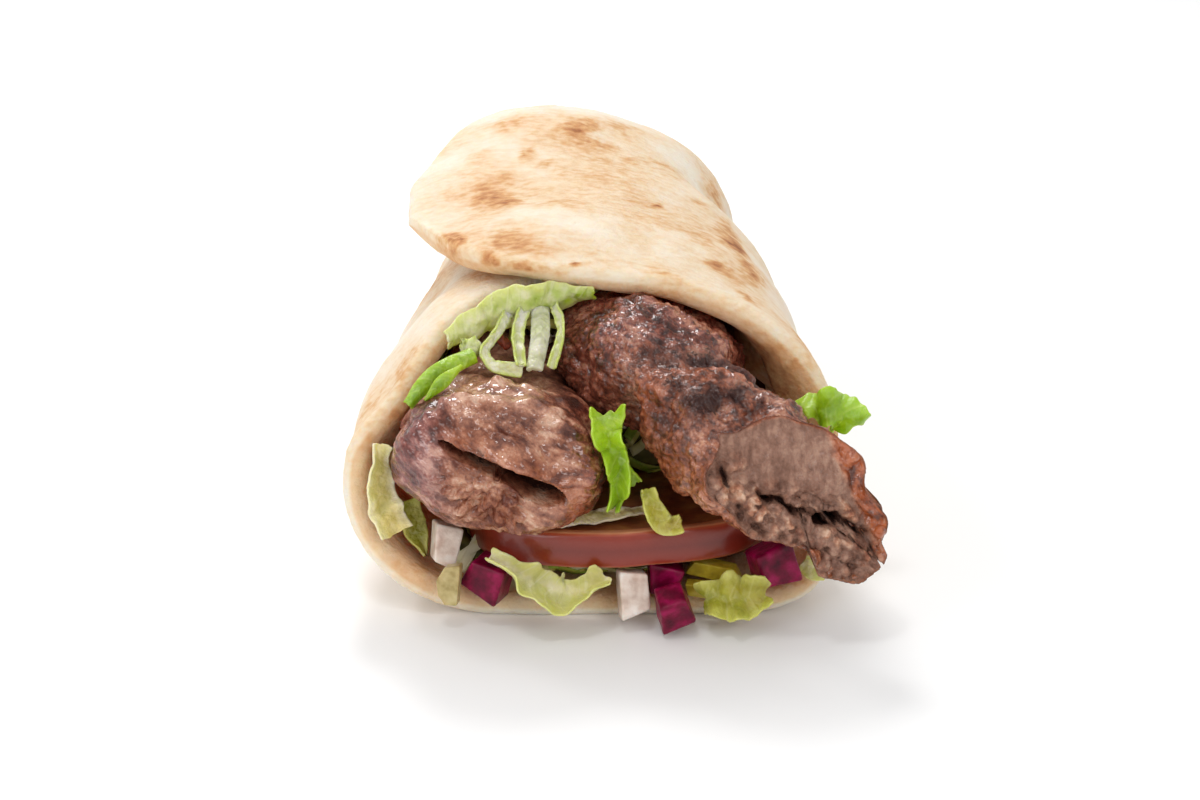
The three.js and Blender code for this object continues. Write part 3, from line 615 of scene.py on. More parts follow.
flatbread_finish = finish_of("baked_flatbread", baked_dough)
bread = mesh_piece("flatbread", bread_points[used], renumbered[bread_faces], flatbread_finish, marks)
grown(
    bread, relief, material=flatbread_finish, hill_size=7.0, hill_height=1.1, grain_size=2.4,
    grain_height=0.3, seed=3.0,
)
handed_over(bread, "flatbread", "flatbread")

# %% [markdown]
# ## Kebabs
# Minced beef is pressed round a skewer by hand, grilled and pulled off. Each kebab is an oval that
# swells, narrows and leans along a curved path, so it is made like that: rings along a path. Fine rings
# lie where the meat shows at the mouth and coarser ones behind.

# %% Rings along a path
def path_through(places):
    """Points and directions at any distance along a smooth path, and its length."""
    p = np.array(places, float)
    p = np.vstack([2 * p[0] - p[1], p, 2 * p[-1] - p[-2]])
    gap = np.linalg.norm(np.diff(p, axis=0), axis=1) ** 0.5
    t = np.linspace(0, 1, 200, endpoint=False)[:, None]
    pieces = []
    for i in range(1, len(p) - 2):
        d0, d1, d2 = gap[i - 1:i + 2]
        leave = ((p[i] - p[i - 1]) / d0 - (p[i + 1] - p[i - 1]) / (d0 + d1) + (p[i + 1] - p[i]) / d1) * d1
        arrive = ((p[i + 1] - p[i]) / d1 - (p[i + 2] - p[i]) / (d1 + d2) + (p[i + 2] - p[i + 1]) / d2) * d1
        bend = 3 * (p[i + 1] - p[i]) - 2 * leave - arrive
        pieces.append(p[i] + leave * t + bend * t ** 2 + (2 * (p[i] - p[i + 1]) + leave + arrive) * t ** 3)
    line = np.vstack([*pieces, p[-2:-1]])
    run = np.append(0, np.cumsum(np.linalg.norm(np.diff(line, axis=0), axis=1)))

    def at(distance):
        point, before, after = (
            np.stack([np.interp(distance + shift, run, line[:, k]) for k in range(3)], axis=-1)
            for shift in (0, -0.05, 0.05)
        )
        return point, unit(after - before)

    return at, run[-1]


CAP_FULLNESS = 2.4
SECTION_SQUARENESS = 2.1


def rounding(distance, cap):
    """The share of its full section that a body has at a distance from its rounded end."""
    return (1 - (1 - np.clip(distance / cap, 0, 1)) ** CAP_FULLNESS) ** (1 / CAP_FULLNESS)


def cap_places(cap, count):
    """Distances from a rounded end at which its rings are evenly spaced over the rounding."""
    angle = np.linspace(0, math.pi / 2, count + 1)[1:]
    return cap * (1 - np.cos(angle) ** (2 / CAP_FULLNESS))


def limb(path, width, height, lean, caps, relief_at):
    """A function of the angle round a body and the distance along it, and the body's length."""
    at_distance, length = path_through(path)

    def point(turn, at):
        middle, ahead = at_distance(at)
        across = unit(np.cross(ahead, [0, 0, 1]))
        up = np.cross(across, ahead)
        tilt = np.radians(lean(at))
        x = width(at) * power(np.cos(turn), 2 / SECTION_SQUARENESS)
        z = height(at) * power(np.sin(turn), 2 / SECTION_SQUARENESS)
        grow = rounding(at, caps[0]) * rounding(length - at, caps[1])
        grow = grow * (1 + relief_at(turn, at) / np.hypot(x, z))
        sideways = grow * (x * np.cos(tilt) - z * np.sin(tilt))
        upwards = grow * (x * np.sin(tilt) + z * np.cos(tilt))
        return middle + across * sideways[..., None] + up * upwards[..., None]

    return point, at_distance, length


def meat_lumps(turn, at):
    return sum(
        height * np.sin(lumps * turn + pitch * at + start)
        for height, lumps, pitch, start in ((0.45, 3, 0.33, 0), (0.35, 5, -0.5, 1), (0.3, 2, 0.8, 0))
    )


def ringed_piece(name, rings, material, marks):
    """A piece of rings (side, ring, xyz) closed by a point at each end, with marks on the same grid."""
    sides, count = rings.shape[:2]
    index = np.arange(sides * count).reshape(sides, count)
    points = np.vstack([rings.reshape(-1, 3), rings[:, 0].mean(axis=0), rings[:, -1].mean(axis=0)])
    near, far = index, np.roll(index, -1, axis=0)
    faces = grid_faces(index, around=True).tolist()
    faces += [[sides * count, b, a] for a, b in zip(near[:, 0], far[:, 0])]
    faces += [[sides * count + 1, a, b] for a, b in zip(near[:, -1], far[:, -1])]
    marks = {key: np.append(np.broadcast_to(value, (sides, count)), [0, 0]) for key, value in marks.items()}
    return mesh_piece(name, points, faces, material, marks)


SIDES = 280
turns = np.linspace(0, 2 * math.pi, SIDES, endpoint=False)


def pressed_mince(points, seed, coarse):
    """How far the mince stands out, in millimetres: swellings, lumps and grains."""
    lumps = crumbs(points, 3.4, seed + 2) - 0.5
    grains = crumbs(points, 1.3, seed + 3) - 0.5
    return 0.8 * wobble(points, 7, seed + 4) + coarse * (0.8 * lumps + 0.6 * grains)


def broken_bits(points, seed):
    """The relief of bare, crumbled meat: chunks, crumbs and grains."""
    sizes = zip((3.8, 2.0, 1.05), (1.3, 1.1, 0.5))
    return sum(height * (crumbs(points, size, seed + k) - 0.5) for k, (size, height) in enumerate(sizes))


# %% [markdown]
# The left kebab's end was pressed shut and split open again while it grilled: a dark slot with a swollen,
# wrinkled upper lip and a crumbly lower jaw. The slot's points are pushed back into the meat, and those
# beside it swell towards the mouth.

# %% Left kebab
FRONT_CAP, BACK_CAP = 8.5, 9
FRONT_RINGS, FINE_RINGS, COARSE_RINGS, BACK_RINGS = 60, 66, 50, 12
FINE_TO = 36
CORE_START = 11
left_body, left_axis, left_length = limb(
    path=[[-18, -8, 30.8], [-17.2, 10, 30.2], [-16.2, 30, 28.4], [-14.6, 62, 27.4], [-13, 106, 26.5]],
    width=through([[0, 19], [14, 18.2], [30, 16], [60, 13.6], [112, 11.5]]),
    height=through([[0, 12.6], [12, 12.6], [24, 11.5], [60, 11.8], [112, 10.5]]),
    lean=through([[0, -9], [30, -4], [60, 0], [112, 0]]),
    caps=[FRONT_CAP, BACK_CAP],
    relief_at=meat_lumps,
)
rings_at = np.concatenate([
    cap_places(FRONT_CAP, FRONT_RINGS)[:-1], np.linspace(FRONT_CAP, FINE_TO, FINE_RINGS),
    np.linspace(FINE_TO, left_length - BACK_CAP, COARSE_RINGS)[1:],
    left_length - cap_places(BACK_CAP, BACK_RINGS)[::-1][1:],
])
left_rings = left_body(turns[:, None], rings_at[None, :])
core, _ = left_axis(np.maximum(rings_at, CORE_START))
outwards = unit(left_rings - core)
stands_out = pressed_mince(left_rings, 51, 0.25)

SLOT_START, SLOT_END = np.array([-27.6, 38.0]), np.array([-6.8, 28.0])
slot_way = unit(SLOT_END - SLOT_START)
slot_square = np.array([-slot_way[1], slot_way[0]])
SLOT_REACH = 0.52
slot_span = np.linalg.norm(SLOT_END - SLOT_START)
offset = stack(left_rings[..., 0], left_rings[..., 2] - 0.12 * left_rings[..., 1]) - SLOT_START
slot_along = (offset @ slot_way) / slot_span
straight_off = offset @ slot_square
slot_off = straight_off + 0.8 * wobble(left_rings, 5.5, 4) + 0.25 * wobble(left_rings, 1.6, 6)
open_by = np.sqrt(np.clip(1 - np.abs((slot_along - 0.5) / SLOT_REACH) ** 3.5, 0, 1))
slot_half = (1.7 + 1.3 * smoothstep(slot_along, 0.4, 0.9)) * open_by + 0.01
at_front = 1 - smoothstep(left_rings[..., 1], -4, 2)
within = np.clip(1 - (slot_off / slot_half) ** 2, 0, 1) * (open_by > 0) * at_front
beside = np.exp(-((slot_along - 0.5) / SLOT_REACH) ** 4) * at_front
lip = bell(slot_off, slot_half + 1.7, 1.9) * beside
jaw = bell(slot_off, -slot_half - 4.4, 3.8) * beside
pulled = stack(slot_along * slot_span / 5, straight_off / 1.4, left_rings[..., 1] / 5)
folds = wobble(pulled, 1, 12) + 0.5 * wobble(pulled, 0.45, 13)
wrinkled = 1 - smoothstep(left_rings[..., 1], 5, 20)
wrinkled = wrinkled * (0.45 + 0.55 * smoothstep(straight_off, 0, 3))
chunky = broken_bits(left_rings, 61)
chipped = bell(slot_off, -slot_half - 5.2, 5) * (1 - smoothstep(left_rings[..., 1], -1, 5))
chipped = chipped * smoothstep(slot_along, -0.1, 0.25) * (1 - smoothstep(slot_along, 0.75, 1))
stands_out = stands_out + 0.8 * folds * wrinkled * (1 - chipped) + 1.5 * chunky * chipped
left_rings = left_rings + outwards * stands_out[..., None]
left_rings[..., 1] += 10.5 * within ** 0.4 - 2.2 * lip - 2.3 * jaw
left_rings[..., 2] -= 1.2 * lip

# Painted shade: hollows that sink below the surface are darkened with the near-black of charring.
sunk = np.clip(-stands_out - 0.3, 0, 1)
left_end = 1 - smoothstep(left_rings[..., 0], -31, -23)
# Painted shade: the right side lies in shade, so its colour is made less pale there.
right_side = smoothstep(left_rings[..., 0] + 0.15 * left_rings[..., 1], -10, -1)
at_corner = np.exp(-(((left_rings - [-4.5, -4, 25.5]) / [3.2, 8, 5]) ** 2).sum(axis=-1))
behind = smoothstep(left_rings[..., 1], 5, 15)
left_marks = {
    "crumbly": 0.12 + 0.6 * chipped,
    # Painted shade: the inside of the slot and the hollows are darkened to near black.
    "char": np.clip(2.4 * within + 0.5 * sunk * (1 - 0.8 * chipped), 0, 1),
    "torn": 0.5 * behind * (1 - right_side),
    "pale": np.clip(0.75 - 0.7 * right_side - 0.3 * left_end + 0.9 * chipped, 0, 1),
    "pink": 0.8 * left_end + 0.1 * (1 - behind),
    "orange": np.clip(0.5 * lip + 0.9 * at_corner + 0.1 * chipped, 0, 1),
    "wet": np.clip(1.2 - 0.7 * behind - 0.7 * chipped - 0.2 * right_side + at_corner, 0, 1),
    "fibre_x": 0.45 * slot_along * slot_span,
    "fibre_y": 0.5 * left_rings[..., 1],
    "fibre_z": straight_off,
}
print("left kebab:", left_rings.shape)

# %% [markdown]
# The right kebab was torn off. Each line of points along its side starts where it meets the ragged plane
# of the tear. Rings of points on that plane then close the end: smoother pressed meat above and crumbs
# below, with a cleft between them, a small dark hole and a band of crust at the right.

# %% Right kebab
TEAR_POINT = np.array([37, -9.6, 29])
TEAR_NORMAL = unit(np.array([0.2, -0.93, 0.3]))
TEAR_ACROSS = unit(np.cross([0, 0, 1], TEAR_NORMAL))
TEAR_UP = np.cross(TEAR_NORMAL, TEAR_ACROSS)
TORN_CAP = 4
SEARCH_TO, SEARCH_STEP = 70, 0.15
FINE_SHARE = 0.55
FINE_LINES, COARSE_LINES, BACK_LINES = 150, 46, 10
CAP_LOOPS = 56


def tear_depth(x, z):
    """How far the ragged end stands out of its plane, by millimetres across and up that plane."""
    rough = 0.7 * np.sin(0.42 * x + 1.3 * np.sin(0.3 * z)) * np.cos(0.5 * z - 1)
    rough = rough + 0.3 * np.sin(0.8 * z + 1.5 * np.cos(0.4 * x))
    line = z + 0.49 * x + 4.1 + 0.5 * np.sin(1.3 * x)
    cleft = -3 * bell(line, 0, 0.75) * smoothstep(x, -12, -9) * (1 - smoothstep(x, -1.5, 1))
    hole = -6 * np.exp(-(((x - 2.6) / 2.6) ** 2 + ((z + 4.9) / 1.35) ** 2) ** 2)
    second_line = z + 0.5 * x + 3.2 + 0.4 * np.sin(1.7 * x)
    second = -2.8 * bell(second_line, 0, 0.75) * smoothstep(x, 4, 6) * (1 - smoothstep(x, 9, 11))
    hollow = -3.6 * bell(x + 0.25 * z, -14.2, 1.1) * bell(z, 3.2, 3.4)
    return rough + cleft + hole + second + hollow


def waist(turn, at):
    side_swell = 2 * bell(at, 62, 9) * np.exp(-((np.mod(turn + 3.4, 2 * math.pi) - 3.4) / 0.6) ** 2)
    return meat_lumps(turn, at) - 2.7 * bell(at, 53, 4.7) * bell(turn, 1.2, 1.2) + side_swell


right_body, right_axis, right_length = limb(
    path=[
        [47.6, -21, 17.7], [38.4, -13.2, 28.8], [24.8, -0.8, 32.3], [13.5, 11.5, 41], [7.8, 27, 39.5],
        [10.8, 46, 34.9], [12.5, 72, 32], [13, 100, 29.6],
    ],
    width=through([
        [0, 10.8], [14, 10.2], [34, 12.5], [50, 12.3], [60, 14.6], [70, 16.2], [84, 15], [104, 12],
        [150, 10.4],
    ]),
    height=through([[0, 10], [14, 10], [34, 10.8], [52, 10.4], [68, 11.2], [90, 10.6], [150, 9.6]]),
    lean=through([[0, 1], [40, 2], [56, -10], [68, -13], [90, -4], [150, 0]]),
    caps=[TORN_CAP, BACK_CAP],
    relief_at=waist,
)
search = np.arange(0, SEARCH_TO, SEARCH_STEP)
tried = right_body(turns[:, None], search[None, :]) - TEAR_POINT
ahead_of_tear = tried @ TEAR_NORMAL - tear_depth(tried @ TEAR_ACROSS, tried @ TEAR_UP)
starts = search[len(search) - 1 - np.argmax(ahead_of_tear[:, ::-1] > 0, axis=1)]
share = np.concatenate([np.linspace(0, FINE_SHARE, FINE_LINES), np.linspace(FINE_SHARE, 1, COARSE_LINES)[1:]])
rings_at = starts[:, None] + share[None, :] * (right_length - BACK_CAP - starts[:, None])
back_rings = right_length - cap_places(BACK_CAP, BACK_LINES)[::-1][1:]
rings_at = np.hstack([rings_at, np.tile(back_rings, (SIDES, 1))])
right_rings = right_body(turns[:, None], rings_at)
core, _ = right_axis(rings_at)
stands_out = pressed_mince(right_rings, 81, 0.9)
behind_rim = smoothstep(rings_at - starts[:, None], 0, 1.5)
crease_line = right_rings[..., 1] - 3.2 - 0.18 * (right_rings[..., 0] - 7) + 0.9 * wobble(right_rings, 4, 34)
on_crease = smoothstep(right_rings[..., 2], 33, 41) * (1 - smoothstep(right_rings[..., 0], 25, 31))
valley = bell(crease_line, 0, 1.9) * on_crease
stands_out = stands_out + 0.9 * bell(crease_line, -4.5, 2.6) * on_crease
outwards = unit(right_rings - core)
left_notch = np.exp(-(((right_rings - [5.5, 3, 36]) / [5, 4, 5]) ** 2).sum(axis=-1))
stands_out = stands_out - valley - 2.6 * left_notch
right_rings = right_rings + outwards * (stands_out * behind_rim)[..., None]

rim = right_rings[:, 0] - TEAR_POINT
rim_x, rim_z = rim @ TEAR_ACROSS, rim @ TEAR_UP
inward = np.linspace(0, 1, CAP_LOOPS, endpoint=False)[::-1]
cap_x = (rim_x.mean() + (rim_x - rim_x.mean())[:, None] * (1 - inward))[:, :-1]
cap_z = (rim_z.mean() + (rim_z - rim_z.mean())[:, None] * (1 - inward))[:, :-1]
flat = TEAR_POINT + cap_x[..., None] * TEAR_ACROSS + cap_z[..., None] * TEAR_UP
crumbled = 1 - smoothstep(cap_z + 0.25 * cap_x + 1.2 * wobble(flat, 4, 23), -1.5, 2.5)
left_crumbs = bell(cap_x, -13, 2.2) * bell(cap_z, 2.5, 4.5)
crumbled = np.maximum(crumbled, left_crumbs)
band = smoothstep(cap_x - 0.357 * (4.2 - cap_z) + 0.8 * wobble(flat, 2.5, 24), 4.6, 6.4)
ragged = (0.07 + 0.93 * np.maximum(crumbled, 0.7 * band)) * smoothstep(inward[:-1], 0, 0.05)
grains = 1.1 * broken_bits(flat, 21) + 0.8 * left_crumbs
depth = tear_depth(cap_x, cap_z)
face = flat + TEAR_NORMAL * (depth + grains * ragged)[..., None]

at_rim = 1 - smoothstep(inward[:-1] + 0.02 * wobble(flat, 2, 25), 0.01, 0.05)
band = np.maximum(band, at_rim * smoothstep(cap_x + cap_z, 0, 6))
# Painted shade: the hole, the deep parts of the tear and the gaps between crumbs are darkened.
dark_holes = np.clip(-(depth + 1.1) / 2.2, 0, 1) + 0.5 * (1 - band) * crumbled * np.clip(-grains - 0.25, 0, 1)
# The crumb tops are paler: partly pale crumbs of bare meat, partly painted highlight.
pale_bits = 0.9 * crumbled * np.clip(grains, 0, 1)
crease = bell(crease_line, -2.6, 2.2) * on_crease
seared = wobble(right_rings, 6, 31) + 0.7 * wobble(right_rings, 2.2, 32)
on_top = np.exp(-((right_rings - [20, -2, 45]) ** 2 / [70, 60, 18]).sum(axis=-1))
rear = smoothstep(right_rings[..., 1], 4, 12)
burnt = (0.3 + 0.2 * rear) * np.clip(seared + 0.1, 0, 1) * smoothstep(right_rings[..., 2], 36, 46)
burnt = burnt + 0.9 * on_top * np.clip(0.5 + 0.8 * seared, 0, 1)
# Painted shade: sunken spots and the notch at the waist are darkened like charring.
burnt = burnt + 0.35 * np.clip(-stands_out - 0.2, 0, 1) + 0.25 * left_notch
shaded_side = smoothstep(right_rings[..., 0] - 0.2 * right_rings[..., 1], 19, 23) * rear
# Painted shade: the rear of the right side lies in shade and is darkened like charring.
burnt = burnt + 0.5 * shaded_side
lower_front = (1 - smoothstep(right_rings[..., 2], 30, 42)) * (1 - smoothstep(right_rings[..., 1], 0, 12))
lower_rear = rear * (1 - smoothstep(right_rings[..., 2], 36, 44)) * (1 - shaded_side)
cap_and_body = {
    "crumbly": (0.05 + 0.75 * crumbled + 0.3 * band, 0.15),
    "char": (np.clip(dark_holes, 0, 1), np.clip(burnt, 0, 1)),
    "torn": ((1 - band) * (1 - pale_bits), 0),
    "pale": (1 - 0.9 * band, 0.25 + 0.35 * lower_front - 0.2 * rear + 0.2 * lower_rear),
    "pink": (0, 0.35 * rear + 0.3 * crease),
    "orange": (band, 0.12 + 0.8 * crease + 0.4 * lower_front),
    "wet": (0.2 + 0.8 * band, 1),
    "fibre_x": (cap_x, right_rings[..., 0]),
    "fibre_y": (0.5 * grains, right_rings[..., 1]),
    "fibre_z": ((0.45 + 0.5 * crumbled) * cap_z, right_rings[..., 2]),
}
right_marks = {
    key: np.hstack([np.broadcast_to(on_cap, cap_x.shape), np.broadcast_to(on_body, rings_at.shape)])
    for key, (on_cap, on_body) in cap_and_body.items()
}
right_rings = np.hstack([face, right_rings])
print("right kebab:", right_rings.shape)

# %% [markdown]
# Grilled mince is grey-brown, never one brown: pinkish where the meat is bare, nearly black where it
# charred, and orange where paprika and fat gathered. The same near-black is painted shade in the slot,
# in hollows and holes and on the shaded side. Fat makes it glisten, so a thin clear coat lies over a
# rougher base.

# %% Kebab finish
def grilled_mince(tree, mm):
    fibres = add(tree, "ShaderNodeCombineXYZ", {
        0: mark(tree, "fibre_x"), 1: mark(tree, "fibre_y"), 2: mark(tree, "fibre_z"),
    })
    patches, flecks, fine = noise(tree, mm, 7, 3), noise(tree, fibres, 1.4, 4), noise(tree, mm, 0.6, 2)
    mixed = add(tree, "ShaderNodeMix", {0: 0.5, 2: patches, 3: flecks})
    mixed = add(tree, "ShaderNodeMix", {0: 0.15, 2: mixed, 3: fine})
    brown, pale, pink, torn = (
        add(tree, "ShaderNodeValToRGB", {"Fac": mixed}, stops=list(zip((0.4, 0.47, 0.53, 0.61), shades)))
        for shades in (
            ("#180604", "#4a180e", "#88432c", "#c68868"), ("#6a3626", "#996047", "#c08768", "#eac4a8"),
            ("#441a18", "#66302b", "#8b4e48", "#bd897c"), ("#745244", "#866252", "#96705f", "#ae8874"),
        )
    )
    paprika = add(tree, "ShaderNodeMapRange", {0: flecks, 1: 0.35, 2: 0.65, 3: 0.15, 4: 0.9})
    paprika = add(tree, "ShaderNodeMath", {0: paprika, 1: mark(tree, "orange")}, operation="MULTIPLY")
    height = add(tree, "ShaderNodeMath", {0: flecks, 1: fine}, operation="ADD")
    speckled = add(tree, "ShaderNodeMath", {0: height, 1: 0.5}, operation="MULTIPLY")
    speckled = add(tree, "ShaderNodeMapRange", {0: speckled, 1: 0.38, 2: 0.62, 3: -0.3, 4: 0.3})
    # This mark darkens real charring and also paints shade: the slot, hollows, holes and the shaded side turn
    # near black.
    seared = add(tree, "ShaderNodeMath", {0: mark(tree, "char"), 1: speckled}, operation="ADD")
    seared = add(tree, "ShaderNodeMapRange", {0: seared, 1: 0.28, 2: 0.8, 3: 0.0, 4: 0.92})
    colour = brown
    for share, tone in (
        (mark(tree, "pale"), pale), (mark(tree, "pink"), pink), (mark(tree, "torn"), torn),
        (paprika, srgb("#b35a26")), (seared, srgb("#280b07")),
    ):
        colour = add(tree, "ShaderNodeMix", {0: share, 6: colour, 7: tone}, data_type="RGBA")
    bump = add(tree, "ShaderNodeBump", {"Height": height, "Strength": 0.6, "Distance": 0.0008})
    ripples = noise(tree, fibres, 1.3, 2)
    film = add(tree, "ShaderNodeBump", {"Height": ripples, "Strength": 0.8, "Distance": 0.0007})
    pooled = add(tree, "ShaderNodeMapRange", {0: patches, 1: 0.4, 2: 0.52, 3: 0.5, 4: 1.0})
    dry = add(tree, "ShaderNodeMapRange", {0: seared, 1: 0.2, 2: 1.0, 3: 1.0, 4: 0.4})
    for by in (mark(tree, "wet"), dry):
        pooled = add(tree, "ShaderNodeMath", {0: pooled, 1: by}, operation="MULTIPLY")
    return add(tree, "ShaderNodeBsdfPrincipled", {
        "Base Color": colour, "Roughness": 0.5, "Normal": bump, "Specular IOR Level": 0.1,
        "Coat Weight": pooled, "Coat Roughness": 0.13, "Coat IOR": 1.65, "Coat Normal": film,
        "Subsurface Weight": 0.1, "Subsurface Radius": (0.002, 0.0009, 0.0006), "Subsurface Scale": 1.0,
    })


kebab_finish = finish_of("grilled_minced_beef", grilled_mince)
MEAT = dict(material=kebab_finish, hill_size=4.2, hill_height=0.5, crumb_size=1.7, crumb_height=1.1)
left_kebab = ringed_piece("kebab_left", left_rings, kebab_finish, left_marks)
grown(left_kebab, relief, seed=5.0, grain_size=0.9, grain_height=0.35, **MEAT)
handed_over(left_kebab, "kebab", "kebab_left")
right_kebab = ringed_piece("kebab_right", right_rings, kebab_finish, right_marks)
grown(right_kebab, relief, seed=9.0, grain_size=1.3, grain_height=0.45, **MEAT)
handed_over(right_kebab, "kebab", "kebab_right")

# %% [markdown]
# ## Tomato
# One thick slice lies flat under the kebabs. Its skin bulges between the two cut faces and is glossy. A
# thin pale line where the skin rounds into each face is a painted highlight, and the cut flesh is darkened
# as painted shade. A profile turned round an axis gives the slice, and a slight waviness takes away the
# machine look.

# %% Tomato slice
TOMATO_RADIUS = 28.8
TOMATO_THICKNESS = 6.6
TOMATO_SIDES = 260
TOMATO_RIM = 1.6
FLAT_RINGS, RIM_RINGS = 24, 33
SQUARENESS = 2.7
profile = np.linspace(math.pi / 2, -math.pi / 2, RIM_RINGS)
edge_r = TOMATO_RADIUS - TOMATO_RIM + TOMATO_RIM * power(np.cos(profile), 0.5)
edge_z = TOMATO_THICKNESS / 2 * power(np.sin(profile), 0.5)
flats = np.linspace(0.02, 1, FLAT_RINGS, endpoint=False) * (TOMATO_RADIUS - TOMATO_RIM)
tomato_r = np.concatenate([flats, edge_r, flats[::-1]])
tomato_z = np.concatenate([np.full(FLAT_RINGS, edge_z[0]), edge_z, np.full(FLAT_RINGS, edge_z[-1])])
round_it = np.linspace(0, 2 * math.pi, TOMATO_SIDES, endpoint=False)
waviness = 0.99 + 0.006 * np.sin(3 * round_it + 1) + 0.004 * np.sin(7 * round_it)
square_sum = np.abs(np.cos(round_it)) ** SQUARENESS + np.abs(np.sin(round_it)) ** SQUARENESS
waviness = waviness * square_sum ** (-1 / SQUARENESS)
disc = stack(
    tomato_r * (waviness * np.cos(round_it))[:, None], tomato_r * (waviness * np.sin(round_it))[:, None],
    tomato_z[None, :],
)
disc[..., 2] += 0.18 * wobble(disc * [1, 1, 0], 6, 41)


def turned(points, degrees):
    """Points turned about x, y and z, the last one first."""
    for axis in (2, 1, 0):
        angle = math.radians(degrees[axis])
        a, b = (axis + 1) % 3, (axis + 2) % 3
        along_a, along_b = points[..., a].copy(), points[..., b].copy()
        points[..., a] = along_a * math.cos(angle) - along_b * math.sin(angle)
        points[..., b] = along_a * math.sin(angle) + along_b * math.cos(angle)
    return points


tomato_rings = turned(disc, [-6.5, -2, 0]) + TOMATO_CENTRE
from_face = np.clip(1 - 0.98 * np.abs(tomato_z) / (TOMATO_THICKNESS / 2), 0, 1)
skin_share = np.where(tomato_r > TOMATO_RADIUS - TOMATO_RIM - 0.05, from_face, 0)


def ripe_tomato(tree, mm):
    patches, fine = noise(tree, mm, 4), noise(tree, mm, 1.1)
    # Painted shade: the cut flesh is coloured darker, as it lies in the shade of the kebabs.
    flesh = add(tree, "ShaderNodeValToRGB", {"Fac": patches}, stops=[
        (0.3, "#74301b"), (0.5, "#8f4526"), (0.7, "#a86a38"),
    ])
    # Painted highlight: the pale stops near nought draw a thin light line where the skin rounds into each cut
    # face.
    edge = add(tree, "ShaderNodeValToRGB", {"Fac": mark(tree, "skin")}, stops=[
        (0.0, "#bd6034"), (0.04, "#dc9a70"), (0.1, "#ae5030"), (0.22, "#8c2e1a"), (1.0, "#762415"),
    ])
    on_skin = add(tree, "ShaderNodeMath", {0: mark(tree, "skin"), 1: 0.01}, operation="GREATER_THAN")
    colour = add(tree, "ShaderNodeMix", {0: on_skin, 6: flesh, 7: edge}, data_type="RGBA")
    bump = add(tree, "ShaderNodeBump", {"Height": fine, "Strength": 0.3, "Distance": 0.0003})
    return add(tree, "ShaderNodeBsdfPrincipled", {
        "Base Color": colour, "Roughness": 0.32, "Normal": bump, "Coat Weight": 0.3, "Coat Roughness": 0.15,
        "Subsurface Weight": 0.15, "Subsurface Radius": (0.003, 0.001, 0.0006), "Subsurface Scale": 1.0,
    })


tomato_finish = finish_of("ripe_tomato", ripe_tomato)
tomato = ringed_piece("tomato_slice", tomato_rings, tomato_finish, {"skin": skin_share})
handed_over(tomato, "tomato", "tomato_slice")

# %% [markdown]
# ## Lettuce
# Shredded lettuce is a bent ribbon: a path, a width that changes along it, a cupped section and a ruffled
# edge. A geometry tree lays a fine grid along the path like that, gives it thickness and rounds its rim.

# %% Leaf tree
LEAF_SIZES = ("start_width", "middle_width", "end_width", "thickness", "cup", "ruffle", "pitch", "tear")
leaf, given = new_tree(
    "leaf", material="Material", facing="Vector", seed="Float", **dict.fromkeys(LEAF_SIZES, "Float"),
)
spine = add(leaf, "GeometryNodeMeshToCurve", {"Mesh": given["geometry"]})
length = add(leaf, "GeometryNodeCurveLength", {"Curve": spine})
grid = add(leaf, "GeometryNodeMeshGrid", {"Size X": 1.0, "Size Y": 2.0, "Vertices X": 84, "Vertices Y": 19})
where = add(leaf, "GeometryNodeInputPosition")
uv = add(leaf, "ShaderNodeSeparateXYZ", {0: where}).outputs
aside = uv[1]

# Both ends are torn: how far along a line runs depends on its place across
which_end = add(leaf, "ShaderNodeMath", {0: uv[0]}, operation="SIGN")
end_spot = add(leaf, "ShaderNodeCombineXYZ", {0: aside, 1: which_end, 2: given["seed"]})
end_noise = add(leaf, "ShaderNodeTexNoise", {"Vector": end_spot, "Scale": 1.7, "Detail": 4.0})
end_noise = add(leaf, "ShaderNodeMapRange", {0: end_noise, 1: 0.3, 2: 0.7, 3: 0.0, 4: 0.34})
shorter = add(leaf, "ShaderNodeMath", {0: end_noise, 1: given["tear"]}, operation="MULTIPLY")
reach = add(leaf, "ShaderNodeMath", {0: 1.0, 1: shorter}, operation="SUBTRACT")
along_leaf = add(leaf, "ShaderNodeMath", {0: uv[0], 1: reach}, operation="MULTIPLY")
along_leaf = add(leaf, "ShaderNodeMath", {0: along_leaf, 1: 0.5}, operation="ADD", use_clamp=True)
sampled = add(leaf, "GeometryNodeSampleCurve", {"Curves": spine, "Factor": along_leaf}, mode="FACTOR").outputs
ahead = sampled["Tangent"]
across = add(leaf, "ShaderNodeVectorMath", {0: ahead, 1: given["facing"]}, operation="CROSS_PRODUCT")
across = add(leaf, "ShaderNodeVectorMath", {0: across}, operation="NORMALIZE")
outwards = add(leaf, "ShaderNodeVectorMath", {0: across, 1: ahead}, operation="CROSS_PRODUCT")

# The half width: from the start to the middle to the end, with a torn edge
start, mid, end = given["start_width"], given["middle_width"], given["end_width"]
change = add(leaf, "ShaderNodeMath", {0: end, 1: mid}, operation="SUBTRACT")
to_middle, to_end = (
    add(leaf, "ShaderNodeMapRange", {0: along_leaf, **limits}, interpolation_type="SMOOTHSTEP")
    for limits in ({1: 0.0, 2: 0.5, 3: start, 4: mid}, {1: 0.5, 2: 1.0, 3: 0.0, 4: change})
)
wide = add(leaf, "ShaderNodeMath", {0: to_middle, 1: to_end}, operation="ADD")
run_mm = add(leaf, "ShaderNodeMath", {0: length, 1: along_leaf}, operation="MULTIPLY")
run_mm = add(leaf, "ShaderNodeMath", {0: run_mm, 1: 1 / MM}, operation="MULTIPLY")
edge_side = add(leaf, "ShaderNodeMath", {0: aside}, operation="SIGN")
edge_spot = add(leaf, "ShaderNodeCombineXYZ", {0: run_mm, 1: edge_side, 2: given["seed"]})
